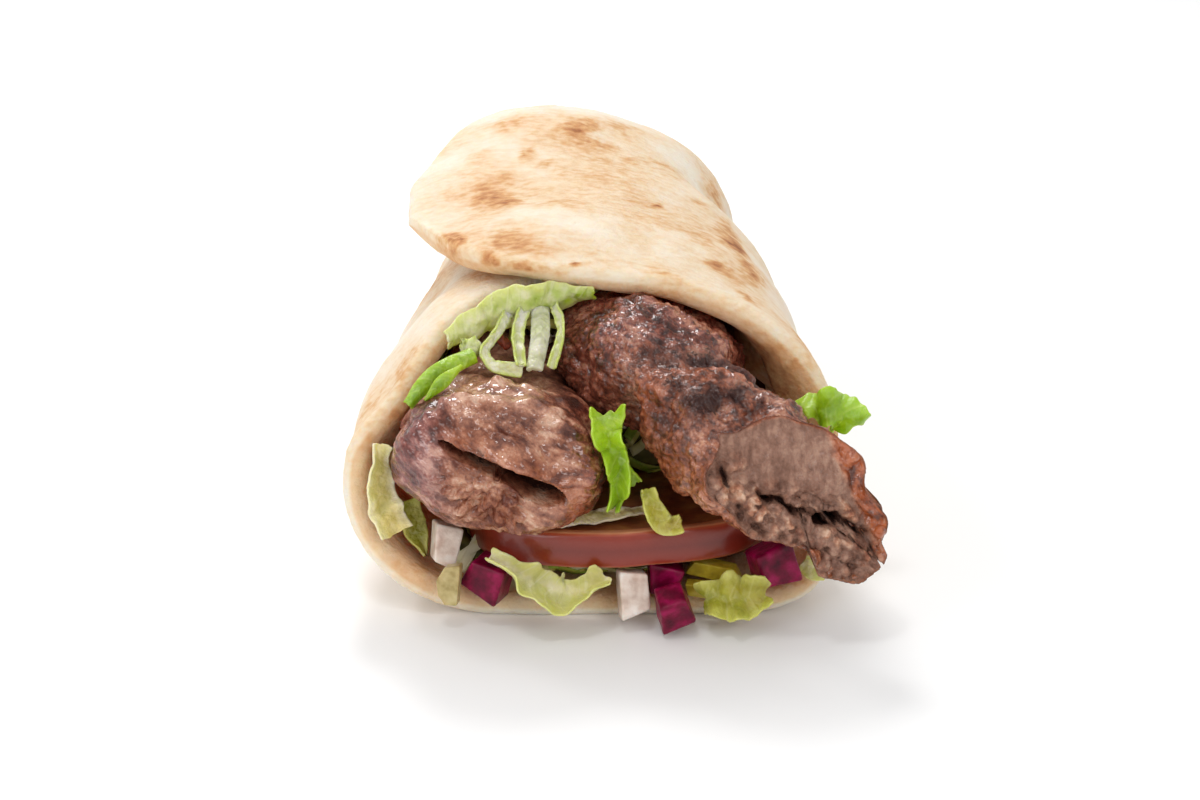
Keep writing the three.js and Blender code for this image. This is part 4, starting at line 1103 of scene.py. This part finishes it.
uneven = add(leaf, "ShaderNodeTexNoise", {"Vector": edge_spot, "Scale": 0.5, "Detail": 5.0})
uneven = add(leaf, "ShaderNodeMapRange", {0: uneven, 1: 0.3, 2: 0.7, 3: -0.3, 4: 0.06})
sideways = uneven
for step, by in (
    ("MULTIPLY", given["tear"]), ("ADD", 1.0), ("MULTIPLY", wide), ("MULTIPLY", aside), ("MULTIPLY", MM / 2),
):
    sideways = add(leaf, "ShaderNodeMath", {0: sideways, 1: by}, operation=step)

# The lift out of the flat: cupped across, ruffled along the edges, puckered everywhere
square = add(leaf, "ShaderNodeMath", {0: aside, 1: 2.0}, operation="POWER")
cupped = add(leaf, "ShaderNodeMath", {0: square, 1: given["cup"]}, operation="MULTIPLY")
slow = add(leaf, "ShaderNodeTexNoise", {"Vector": edge_spot, "Scale": 0.16, "Detail": 1.0})
slow = add(leaf, "ShaderNodeMath", {0: slow, 1: 1.4}, operation="MULTIPLY")
ruffled = run_mm
for step, by in (
    ("DIVIDE", given["pitch"]), ("ADD", slow), ("MULTIPLY", 2 * math.pi), ("SINE", 0.0),
    ("MULTIPLY", aside), ("MULTIPLY", given["ruffle"]),
):
    ruffled = add(leaf, "ShaderNodeMath", {0: ruffled, 1: by}, operation=step)
side_mm = add(leaf, "ShaderNodeMath", {0: sideways, 1: 1 / MM}, operation="MULTIPLY")
pucker_spot = add(leaf, "ShaderNodeCombineXYZ", {0: run_mm, 1: side_mm, 2: given["seed"]})
pucker = add(leaf, "ShaderNodeTexNoise", {"Vector": pucker_spot, "Scale": 0.42, "Detail": 2.0})
pucker = add(leaf, "ShaderNodeMapRange", {0: pucker, 1: 0.25, 2: 0.75, 3: -0.45, 4: 0.45})
lifted_by = cupped
for step, by in (("ADD", ruffled), ("ADD", pucker), ("MULTIPLY", MM)):
    lifted_by = add(leaf, "ShaderNodeMath", {0: lifted_by, 1: by}, operation=step)
laid = sampled["Position"]
for way, by in ((across, sideways), (outwards, lifted_by)):
    move = add(leaf, "ShaderNodeVectorMath", {0: way, "Scale": by}, operation="SCALE")
    laid = add(leaf, "ShaderNodeVectorMath", {0: laid, 1: move}, operation="ADD")

# The veins' coordinates stay with the grid before it is laid along the path
for label, value in (("along", run_mm), ("aside", aside), ("share", along_leaf)):
    grid = add(
        leaf, "GeometryNodeStoreNamedAttribute", {"Geometry": grid, "Name": label, "Value": value},
        data_type="FLOAT", domain="POINT",
    )
blade = add(leaf, "GeometryNodeSetPosition", {"Geometry": grid, "Position": laid})
thick = add(leaf, "ShaderNodeMath", {0: given["thickness"], 1: MM}, operation="MULTIPLY")
half_thick = add(leaf, "ShaderNodeMath", {0: thick, 1: -0.5}, operation="MULTIPLY")
blade_normal = add(leaf, "GeometryNodeInputNormal")
half_back = add(leaf, "ShaderNodeVectorMath", {0: blade_normal, "Scale": half_thick}, operation="SCALE")
blade = add(leaf, "GeometryNodeSetPosition", {"Geometry": blade, "Offset": half_back})
slab = thickened(leaf, blade, thick)
rounded = add(leaf, "GeometryNodeSubdivisionSurface", {"Mesh": slab, "Level": 1})
finished(leaf, rounded, given["material"])

# %% [markdown]
# Fresh lettuce is thin enough for light to pass, so light scatters inside it. Each finish has a colour
# for the leaf's start, end, edges and veins, and darker patches lie over them. The kinds are the bright
# outer leaf, leaf fading into the heart, the pale heart, its white rib, cream and yellowed leaves, and
# the olive of leaves softened by the warm filling.

# %% Leaf finishes
def lettuce_finish(name, start, end, edge, vein):
    def blade_of_leaf(tree, mm):
        run, share = mark(tree, "along"), mark(tree, "share")
        away = add(tree, "ShaderNodeMath", {0: mark(tree, "aside")}, operation="ABSOLUTE")
        slant = add(tree, "ShaderNodeMath", {0: away, 1: -1.6}, operation="MULTIPLY")
        slant = add(tree, "ShaderNodeMath", {0: run, 1: slant}, operation="ADD")
        spread_out = add(tree, "ShaderNodeCombineXYZ", {0: slant})
        ribs = add(tree, "ShaderNodeTexNoise", {"Vector": spread_out, "Scale": 0.9, "Detail": 2.0})
        patches = noise(tree, mm, 2.4)
        fade = add(tree, "ShaderNodeMapRange", {0: patches, 1: 0.3, 2: 0.7, 3: -0.3, 4: 0.3})
        fade = add(tree, "ShaderNodeMath", {0: share, 1: fade}, operation="ADD", use_clamp=True)
        deep = add(tree, "ShaderNodeMapRange", {0: noise(tree, mm, 5), 1: 0.42, 2: 0.62, 3: 0.0, 4: 0.6})
        at_edge = add(tree, "ShaderNodeMath", {0: away, 1: patches}, operation="ADD")
        at_edge = add(tree, "ShaderNodeMapRange", {0: at_edge, 1: 0.95, 2: 1.4, 3: 0.0, 4: 0.85})
        line = add(tree, "ShaderNodeMapRange", {0: ribs, 1: 0.52, 2: 0.7, 3: 0.0, 4: 0.3})
        colour = srgb(start)
        for part, code, blend in (
            (fade, end, "MIX"), (deep, "#b9c478", "MULTIPLY"), (at_edge, edge, "MIX"), (line, vein, "MIX"),
        ):
            colour = add(
                tree, "ShaderNodeMix", {0: part, 6: colour, 7: srgb(code)}, data_type="RGBA",
                blend_type=blend,
            )
        height = add(tree, "ShaderNodeMath", {0: ribs, 1: noise(tree, mm, 0.6)}, operation="ADD")
        bump = add(tree, "ShaderNodeBump", {"Height": height, "Strength": 0.5, "Distance": 0.0004})
        return add(tree, "ShaderNodeBsdfPrincipled", {
            "Base Color": colour, "Roughness": 0.34, "Normal": bump, "Subsurface Weight": 0.6,
            "Subsurface Radius": (0.0022, 0.0026, 0.0008), "Subsurface Scale": 1.0, "Coat Weight": 0.2,
            "Coat Roughness": 0.15, "Coat Normal": bump,
        })

    return finish_of(name, blade_of_leaf)


green, fading, pale_heart, white_rib, cream, yellowed, softened = (
    lettuce_finish(name, *codes.split()) for name, codes in (
        ("green_lettuce_leaf", "#a3c41c #86ac12 #9cc42a #cfe07a"),
        ("fading_lettuce_leaf", "#f1eecb #a6c02c #d3db86 #f1f1d2"),
        ("pale_lettuce_heart", "#eff0d4 #dfe3a6 #b9cb5c #f5f5e4"),
        ("white_lettuce_rib", "#dad9c4 #cfccb4 #d9dcb4 #e9e8da"),
        ("cream_lettuce_leaf", "#e8d79a #ddc97e #f3e8ba #f0e4b4"),
        ("yellowed_lettuce_leaf", "#ebe6bc #e0d98e #d3d67c #f4f1d6"),
        ("softened_lettuce_leaf", "#b2b13e #a89a3a #c8c868 #d6d48c"),
    )
)

# %% [markdown]
# Every leaf and shred that shows: its finish and slot, the places its spine passes, where its flat side
# looks, and its sizes: its width at the start, middle and end, how thick, cupped and ruffled it is, how
# long a ruffle is, and how torn its edges are.

# %% Leaves
LEAVES = {
    "lettuce_top": (
        fading, "lettuce",
        [[-27.4, 16.6, 46.2], [-20.4, 21, 49], [-13, 24.2, 50.6], [-6.5, 25.3, 51.6], [-0.6, 25.2, 52.2]],
        (0, -0.9, -0.2), (4.4, 8.4, 3.4, 0.5, -1.1, 0.8, 9, 0.16),
    ),
    "lettuce_loop": (
        pale_heart, "pale_lettuce",
        [[-15.4, 26, 50.8], [-18.2, 18.4, 48], [-20.6, 14.6, 45.4], [-19.2, 12.4, 43.9], [-13.6, 10.8, 43.4]],
        (0.5, -0.8, 0.4), (2.4, 1.9, 2.8, 0.5, 0.1, 0.1, 9, 0.08),
    ),
    "lettuce_shred_a": (
        pale_heart, "pale_lettuce", [[-13.4, 27, 50.4], [-14.8, 18, 47.6], [-14, 11, 43.9]],
        (0.2, -1, 0.2), (2.4, 2.3, 1.9, 0.45, 0.6, 0.1, 9, 0.06),
    ),
    "lettuce_rib": (
        white_rib, "pale_lettuce", [[-11, 27, 50.4], [-10.7, 18, 47.6], [-11.6, 10.9, 43.7]],
        (0, -1, 0.2), (3, 3.1, 2.6, 0.9, -0.7, 0, 9, 0.03),
    ),
    "lettuce_shred_b": (
        pale_heart, "pale_lettuce", [[-8.3, 27, 50.6], [-6.9, 18, 47.8], [-8.6, 11.8, 43.4]],
        (-0.3, -1, 0.2), (2, 1.6, 1.6, 0.45, 0.5, 0.1, 9, 0.06),
    ),
    "lettuce_knob": (
        pale_heart, "pale_lettuce", [[-24.7, 16.5, 44.4], [-22.8, 15.6, 45.8], [-21.2, 16.4, 46.6]],
        (0.2, -0.9, 0.3), (3, 3.8, 2.8, 0.9, -0.7, 0.4, 3, 0.7),
    ),
    "lettuce_left": (
        green, "lettuce", [[-22, 12.8, 45.8], [-26.4, 10.8, 44.4], [-30.7, 8.2, 42.1], [-33.9, 5.4, 39]],
        (0.3, -0.8, 0.5), (2.8, 3.6, 1.8, 0.5, -1.1, 0.3, 11, 0.1),
    ),
    "lettuce_spike": (
        green, "lettuce", [[-24.2, 7.2, 46], [-27.4, 5.4, 43.9], [-30.8, 3.4, 40.8]],
        (0.2, -0.8, 0.6), (0.6, 2.4, 0.4, 0.45, -0.5, 0.1, 9, 0.08),
    ),
    "lettuce_pale_left": (
        cream, "pale_lettuce", [[-38.8, 5.4, 32], [-39.4, 4.2, 26.4], [-38.6, 3, 20.6], [-36.2, 1.6, 15.4]],
        (0.5, -0.85, 0.1), (3, 6.4, 6.8, 0.5, 0.9, 0.9, 10, 0.3),
    ),
    "lettuce_low_left": (
        softened, "pale_lettuce", [[-35, 8.6, 19.5], [-33.4, 7.4, 14.4], [-31.2, 5.2, 9.2]],
        (0.4, -0.9, 0.2), (4.8, 4.8, 0.8, 0.5, 0.5, 0.3, 7, 0.4),
    ),
    "lettuce_curl": (
        yellowed, "pale_lettuce",
        [
            [-20.4, -4.4, 14], [-16.4, -5.4, 12.2], [-11.6, -6, 8.6], [-6.6, -6.2, 6.2], [-2, -5.4, 8],
            [2, -5, 10.8],
        ],
        (0, -0.55, 0.85), (1.4, 8.4, 3.6, 0.45, 2.6, 1.2, 8, 0.25),
    ),
    "lettuce_frill": (
        softened, "lettuce", [[17.2, -4, 5.4], [21.4, -5.2, 6.6], [26, -5.8, 7], [31, -5.4, 7.8]],
        (0, -0.8, 0.6), (5, 9.4, 5.2, 0.5, 1.6, 1.4, 6, 0.75),
    ),
    "lettuce_tip_right": (
        yellowed, "lettuce", [[36.1, 2.6, 9.9], [38.4, 2, 8.4], [40.7, 2, 7.3]],
        (-0.2, -0.9, 0.4), (3.2, 4.2, 2, 0.6, 0.4, 0.3, 5, 0.5),
    ),
    "lettuce_right": (
        green, "lettuce", [[34.2, 10.6, 36], [38.4, 9.4, 37.2], [42.8, 8.4, 36.4], [46, 7.6, 32.8]],
        (0.1, -0.9, 0.4), (2.4, 8.6, 9, 0.5, -1.3, 2.2, 5.5, 1.2),
    ),
    "lettuce_centre": (
        green, "lettuce",
        [[1.4, 0.4, 41], [1.2, -2.8, 37.6], [2.8, -3.4, 33], [3.4, -2.6, 27], [2.2, -1.8, 21.6]],
        (0, -1, 0.3), (6.8, 4.4, 2.2, 0.5, 2, 1.9, 7, 0.6),
    ),
    "lettuce_dark": (
        green, "lettuce", [[2.6, 2.6, 34.4], [3.6, 1.6, 30], [6.4, 0.6, 25.4]],
        (-0.3, -1, 0), (1.6, 2.8, 3.4, 0.5, 0.2, 0.4, 6, 0.5),
    ),
    "lettuce_olive": (
        softened, "lettuce", [[8.2, -2.4, 26.8], [9.4, -3.6, 23.2], [11.6, -4.6, 20.4], [14.6, -4.4, 20.8]],
        (0.1, -0.9, 0.4), (2.4, 4.2, 3.2, 0.5, 0.9, 1.0, 7, 0.3),
    ),
    "lettuce_strip_low": (
        cream, "pale_lettuce", [[-7.4, -0.6, 18.7], [-2.4, 1, 19.2], [3.4, 2.2, 19.6], [8.6, 3.6, 19.6]],
        (0, -0.5, 0.9), (1.8, 3.2, 2, 0.45, 0, 0.3, 9, 0.3),
    ),
}
SPINE_STEPS = 59
for seed, (name, (finish, slot, path, facing, sizes)) in enumerate(LEAVES.items()):
    on_path, spine_length = path_through(path)
    spine_points, _ = on_path(np.linspace(0, spine_length, SPINE_STEPS + 1))
    spine_mesh = bpy.data.meshes.new(f"{name}_spine")
    spine_mesh.from_pydata(placed(spine_points).tolist(), [(i, i + 1) for i in range(SPINE_STEPS)], [])
    piece = linked(f"{name}_food", spine_mesh)
    named_sizes = dict(zip(LEAF_SIZES, map(float, sizes)))
    grown(piece, leaf, material=finish, facing=facing, seed=7.3 * seed, **named_sizes)
    handed_over(piece, slot, name)

# %% [markdown]
# ## Diced vegetables
# Pickled turnip dyed with beetroot, white radish and pickled cucumber are cut with a knife: flat faces
# that aren't quite square to each other, crisp edges and a wet shine. A block with uneven corners is
# subdivided, and the relief tree gives the cut faces their grain. Each piece has its size, its place and
# how it is turned.

# %% Diced pieces
cut, given = new_tree("cut_piece", material="Material", seed="Float")
split = add(cut, "GeometryNodeSubdivideMesh", {"Mesh": given["geometry"], "Level": 3})
eased = add(cut, "GeometryNodeSubdivisionSurface", {"Mesh": split, "Level": 1})
finished(cut, eased, given["material"])


def pickled(name, dark, body, light, subsurface):
    def flesh(tree, mm):
        colour = add(tree, "ShaderNodeValToRGB", {"Fac": noise(tree, mm, 2.6)}, stops=[
            (0.3, dark), (0.5, body), (0.75, light),
        ])
        grain = noise(tree, mm, 0.5)
        bump = add(tree, "ShaderNodeBump", {"Height": grain, "Strength": 0.3, "Distance": 0.0003})
        return add(tree, "ShaderNodeBsdfPrincipled", {
            "Base Color": colour, "Roughness": 0.34, "Normal": bump, "Specular IOR Level": 0.22,
            "Coat Weight": 0.08, "Coat Roughness": 0.1, "Subsurface Weight": subsurface,
            "Subsurface Radius": (0.002, 0.0012, 0.001), "Subsurface Scale": 1.0,
        })

    return finish_of(name, flesh)


radish = pickled("pickled_white_radish", "#c4ab9c", "#ddccbf", "#f0e8df", 0.4)
turnip = pickled("beetroot_dyed_turnip", "#46001c", "#72002e", "#a40f52", 0.2)
gherkin = pickled("pickled_cucumber", "#96801f", "#b8a22e", "#d2c25c", 0.4)
pickle_flesh = pickled("pickled_cucumber_flesh", "#9a8650", "#bcab78", "#d5c99c", 0.5)
CUBE = 6.4
SQUARE_CUT = [[-0.5, -0.5], [0.5, -0.5], [0.5, 0.5], [-0.5, 0.5]]
QUARTER_ROUND = [[-0.1, -0.5], [0.5, -0.5], [0.5, 0.5], [-0.2, 0.36], [-0.5, 0.05], [-0.42, -0.3]]
KINDS = {
    "radish": (radish, "white_radish", SQUARE_CUT),
    "turnip": (turnip, "pink_turnip", SQUARE_CUT),
    "pickle_wedge": (pickle_flesh, "green_pickle", QUARTER_ROUND),
    "pickle_spear": (gherkin, "green_pickle", SQUARE_CUT),
}
DICE = {
    "radish_left": ([4.2, 4.4, 7.2], [-27.6, 2.2, 13.3], [-14, 8, 14]),
    "radish_centre": ([6, 5.4, 8], [5.7, -3, 6.6], [-16, -4, 8]),
    "turnip_left": ([CUBE, CUBE, CUBE - 0.4], [-19.6, -1.1, 8.8], [6, 22, -24]),
    "turnip_back": ([CUBE - 0.8, CUBE, CUBE - 0.8], [11.4, 2, 7.2], [-4, 6, 4]),
    "turnip_front": ([CUBE - 0.2, CUBE - 0.6, CUBE - 0.2], [12.8, -7, 5.7], [18, -10, 12]),
    "turnip_right": ([CUBE, CUBE, CUBE + 0.4], [31, 0.2, 10.8], [-6, -16, 20]),
    "pickle_wedge": ([4, 2.6, 7.8], [-26.8, -3.6, 8.7], [-8, 4, -12]),
    "pickle_spear_a": ([9.2, 3.2, 2.8], [20.6, 2.4, 8.4], [0, 12, -8]),
    "pickle_spear_b": ([9.4, 2.8, 2.4], [21, -0.8, 5.6], [0, 4, -6]),
}
for seed, (name, ((wide, deep, high), place, turn)) in enumerate(DICE.items()):
    finish, slot, cut_shape = next(KINDS[kind] for kind in KINDS if name.startswith(kind))
    count = len(cut_shape)
    skew = 0.12 * np.sin(seed * 2.3 + 1.9 * np.arange(2 * count)) * (1 if cut_shape is SQUARE_CUT else 0.2)
    outline = (np.array(cut_shape) + skew.reshape(count, 2)) * [wide, high]
    block = np.concatenate([np.insert(outline, 1, y, axis=1) for y in (-deep / 2, deep / 2)])
    sides = [(i, i + count, (i + 1) % count + count, (i + 1) % count) for i in range(count)]
    caps = [tuple(range(count)), tuple(range(2 * count - 1, count - 1, -1))]
    piece = mesh_piece(name, turned(block, turn) + place, caps + sides, finish, {})
    grown(piece, cut, material=finish)
    grown(
        piece, relief, material=finish, hill_size=2.6, hill_height=0.3, grain_size=0.9, grain_height=0.08,
        seed=2.0 + seed,
    )
    handed_over(piece, slot, name)

# %% [markdown]
# ## Chilli
# A single bit of dried chilli sits behind the lettuce loop. It is a tiny limb of its own.

# %% Chilli bit
def dried_chilli(tree, mm):
    colour = add(tree, "ShaderNodeValToRGB", {"Fac": noise(tree, mm, 0.8)}, stops=[
        (0.3, "#5e1c12"), (0.7, "#a8452a"),
    ])
    return add(tree, "ShaderNodeBsdfPrincipled", {"Base Color": colour, "Roughness": 0.3})


CHILLI_CAP = 0.8
CHILLI_SIDES, CHILLI_RINGS, CHILLI_CAP_RINGS = 40, 12, 8
chilli_body, _, chilli_length = limb(
    path=[[-18.4, 20.4, 46.2], [-17.2, 19.8, 45.2], [-16.4, 19.4, 44]], width=np.ones_like,
    height=lambda at: np.full_like(at, 0.8), lean=np.zeros_like, caps=[CHILLI_CAP, CHILLI_CAP],
    relief_at=lambda turn, at: 0.08 * np.sin(4 * turn + 3 * at),
)
chilli_cap = cap_places(CHILLI_CAP, CHILLI_CAP_RINGS)
chilli_at = np.concatenate([
    chilli_cap, np.linspace(CHILLI_CAP, chilli_length - CHILLI_CAP, CHILLI_RINGS)[1:-1],
    chilli_length - chilli_cap[::-1],
])
chilli_turns = np.linspace(0, 2 * math.pi, CHILLI_SIDES, endpoint=False)
chilli_rings = chilli_body(chilli_turns[:, None], chilli_at[None, :-1])
chilli = ringed_piece("chilli_bit", chilli_rings, finish_of("dried_chilli", dried_chilli), {})
handed_over(chilli, "chilli", "chilli_bit")

# %% [markdown]
# ## Salad
# Shredded salad fills the room between the meat, the tomato and the bread. Its packed form is a heap,
# kept here as a core: a copy is merged, remeshed evenly and roughened. Real shreds then lie over the core
# where it can be seen, at the mouth left of the right kebab and at the tail.

# %% Shred tree
MEAT_SIDE = 8 * MM
SHRED_LENGTH, SHRED_WIDTH, SHRED_THICKNESS = 9 * MM, 1.9 * MM, 0.4 * MM
heap, given = new_tree(
    "shreds_over_heap", material="Material", mouth="Float", tail="Float", density="Float", seed="Int",
)
spot = add(heap, "GeometryNodeInputPosition")
xyz = add(heap, "ShaderNodeSeparateXYZ", {0: spot}).outputs
near_mouth = add(heap, "ShaderNodeMath", {0: xyz[1], 1: given["mouth"]}, operation="LESS_THAN")
near_tail = add(heap, "ShaderNodeMath", {0: xyz[1], 1: given["tail"]}, operation="GREATER_THAN")
left_of_meat = add(heap, "ShaderNodeMath", {0: xyz[0], 1: MEAT_SIDE}, operation="LESS_THAN")
near_mouth = add(heap, "ShaderNodeMath", {0: near_mouth, 1: left_of_meat}, operation="MULTIPLY")
shown = add(heap, "ShaderNodeMath", {0: near_mouth, 1: near_tail}, operation="MAXIMUM")
scattered = add(
    heap, "GeometryNodeDistributePointsOnFaces",
    {"Mesh": given["geometry"], "Selection": shown, "Density": given["density"], "Seed": given["seed"]},
).outputs
shred = add(heap, "GeometryNodeMeshGrid", {
    "Size X": SHRED_LENGTH, "Size Y": SHRED_WIDTH, "Vertices X": 12, "Vertices Y": 4,
})
on_shred = add(heap, "GeometryNodeInputPosition")
xyz = add(heap, "ShaderNodeSeparateXYZ", {0: on_shred}).outputs
bends = []
for turns_each_metre, wave_kind, size in ((300.0, "SINE", 0.0009), (520.0, "COSINE", 0.0006)):
    bend = xyz[0]
    for step, by in (("MULTIPLY", turns_each_metre), (wave_kind, 0.0), ("MULTIPLY", size)):
        bend = add(heap, "ShaderNodeMath", {0: bend, 1: by}, operation=step)
    bends.append(bend)
bent = add(heap, "ShaderNodeCombineXYZ", {1: bends[0], 2: bends[1]})
shred = add(heap, "GeometryNodeSetPosition", {"Geometry": shred, "Offset": bent})
whole = thickened(heap, shred, SHRED_THICKNESS)
spin, size, shade = (
    add(heap, "FunctionNodeRandomValue", {2: least, 3: most, "Seed": draw}, data_type="FLOAT")
    for least, most, draw in ((0.0, 2 * math.pi, given["seed"]), (0.6, 1.2, given["seed"]), (0.0, 1.0, 5))
)
turn = add(heap, "FunctionNodeEulerToRotation", {"Euler": add(heap, "ShaderNodeCombineXYZ", {2: spin})})
turn = add(
    heap, "FunctionNodeRotateRotation", {"Rotation": turn, "Rotate By": scattered["Rotation"]},
    rotation_space="GLOBAL",
)
laid_out = add(
    heap, "GeometryNodeInstanceOnPoints",
    {"Points": scattered["Points"], "Instance": whole, "Rotation": turn, "Scale": size},
)
laid_out = add(
    heap, "GeometryNodeStoreNamedAttribute", {"Geometry": laid_out, "Name": "shade", "Value": shade},
    data_type="FLOAT", domain="INSTANCE",
)
finished(heap, laid_out, given["material"])


# %% Salad finishes
def shredded_salad(tree, mm):
    tint = add(tree, "ShaderNodeMath", {0: noise(tree, mm, 3), 1: mark(tree, "shade")}, operation="ADD")
    tint = add(tree, "ShaderNodeMath", {0: tint, 1: -0.25}, operation="ADD")
    colour = add(tree, "ShaderNodeValToRGB", {"Fac": tint}, stops=[
        (0.0, "#6f9218"), (0.3, "#9bb636"), (0.55, "#c6be5e"), (0.8, "#e0dc9a"), (1.0, "#efecc4"),
    ])
    return add(tree, "ShaderNodeBsdfPrincipled", {
        "Base Color": colour, "Roughness": 0.42, "Subsurface Weight": 0.2, "Subsurface Scale": 1.0,
        "Subsurface Radius": (0.0012, 0.0014, 0.0005),
    })


def salad_in_shade(tree, mm):
    # Painted shade: the core is dark olive, the colour of lettuce lying deep in shade inside the filling.
    colour = add(tree, "ShaderNodeValToRGB", {"Fac": noise(tree, mm, 3)}, stops=[
        (0.3, "#3c3a14"), (0.55, "#6f6a2c"), (0.75, "#948a4c"),
    ])
    across = add(tree, "ShaderNodeSeparateXYZ", {0: mm})
    # Painted shadow: towards the kebab on the right the core turns dark red-brown, as shadow in the gap
    # beside the meat.
    juicy = add(tree, "ShaderNodeMapRange", {0: across, 1: 6.0, 2: 12.0, 3: 0.0, 4: 0.9})
    colour = add(tree, "ShaderNodeMix", {0: juicy, 6: colour, 7: srgb("#6b3c22")}, data_type="RGBA")
    return add(tree, "ShaderNodeBsdfPrincipled", {"Base Color": colour, "Roughness": 0.55})


shred_finish = finish_of("shredded_lettuce", shredded_salad)
core_finish = finish_of("packed_salad", salad_in_shade)

# %% Salad bed and salad front
MOUTH_SHREDS_TO = 62
TAIL_SHREDS_FROM = 137
CORE_VOXEL = 0.9 * MM
for seed, name in enumerate(("salad_bed", "salad_front")):
    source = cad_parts[name]
    copy = source.data.copy()
    copy.transform(source.matrix_world)
    core = linked(name, copy)
    weld = core.modifiers.new("weld", "WELD")
    weld.merge_threshold = 1e-5
    even = core.modifiers.new("even", "REMESH")
    even.mode = "VOXEL"
    even.voxel_size = CORE_VOXEL
    even.use_smooth_shade = True
    shreds = linked(f"{name}_shreds", applied(core).data.copy())
    grown(
        core, relief, material=core_finish, hill_size=3.0, hill_height=0.7, grain_size=1.2, grain_height=0.3,
        seed=1.0 + seed,
    )
    handed_over(core, "salad", name)
    grown(
        shreds, heap, material=shred_finish, mouth=float((MOUTH_SHREDS_TO - SHIFT[1]) * MM),
        tail=float((TAIL_SHREDS_FROM - SHIFT[1]) * MM), density=70000.0, seed=3 + seed,
    )
    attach(shreds, "root")
    print(shreds.name, len(shreds.data.polygons), "faces")
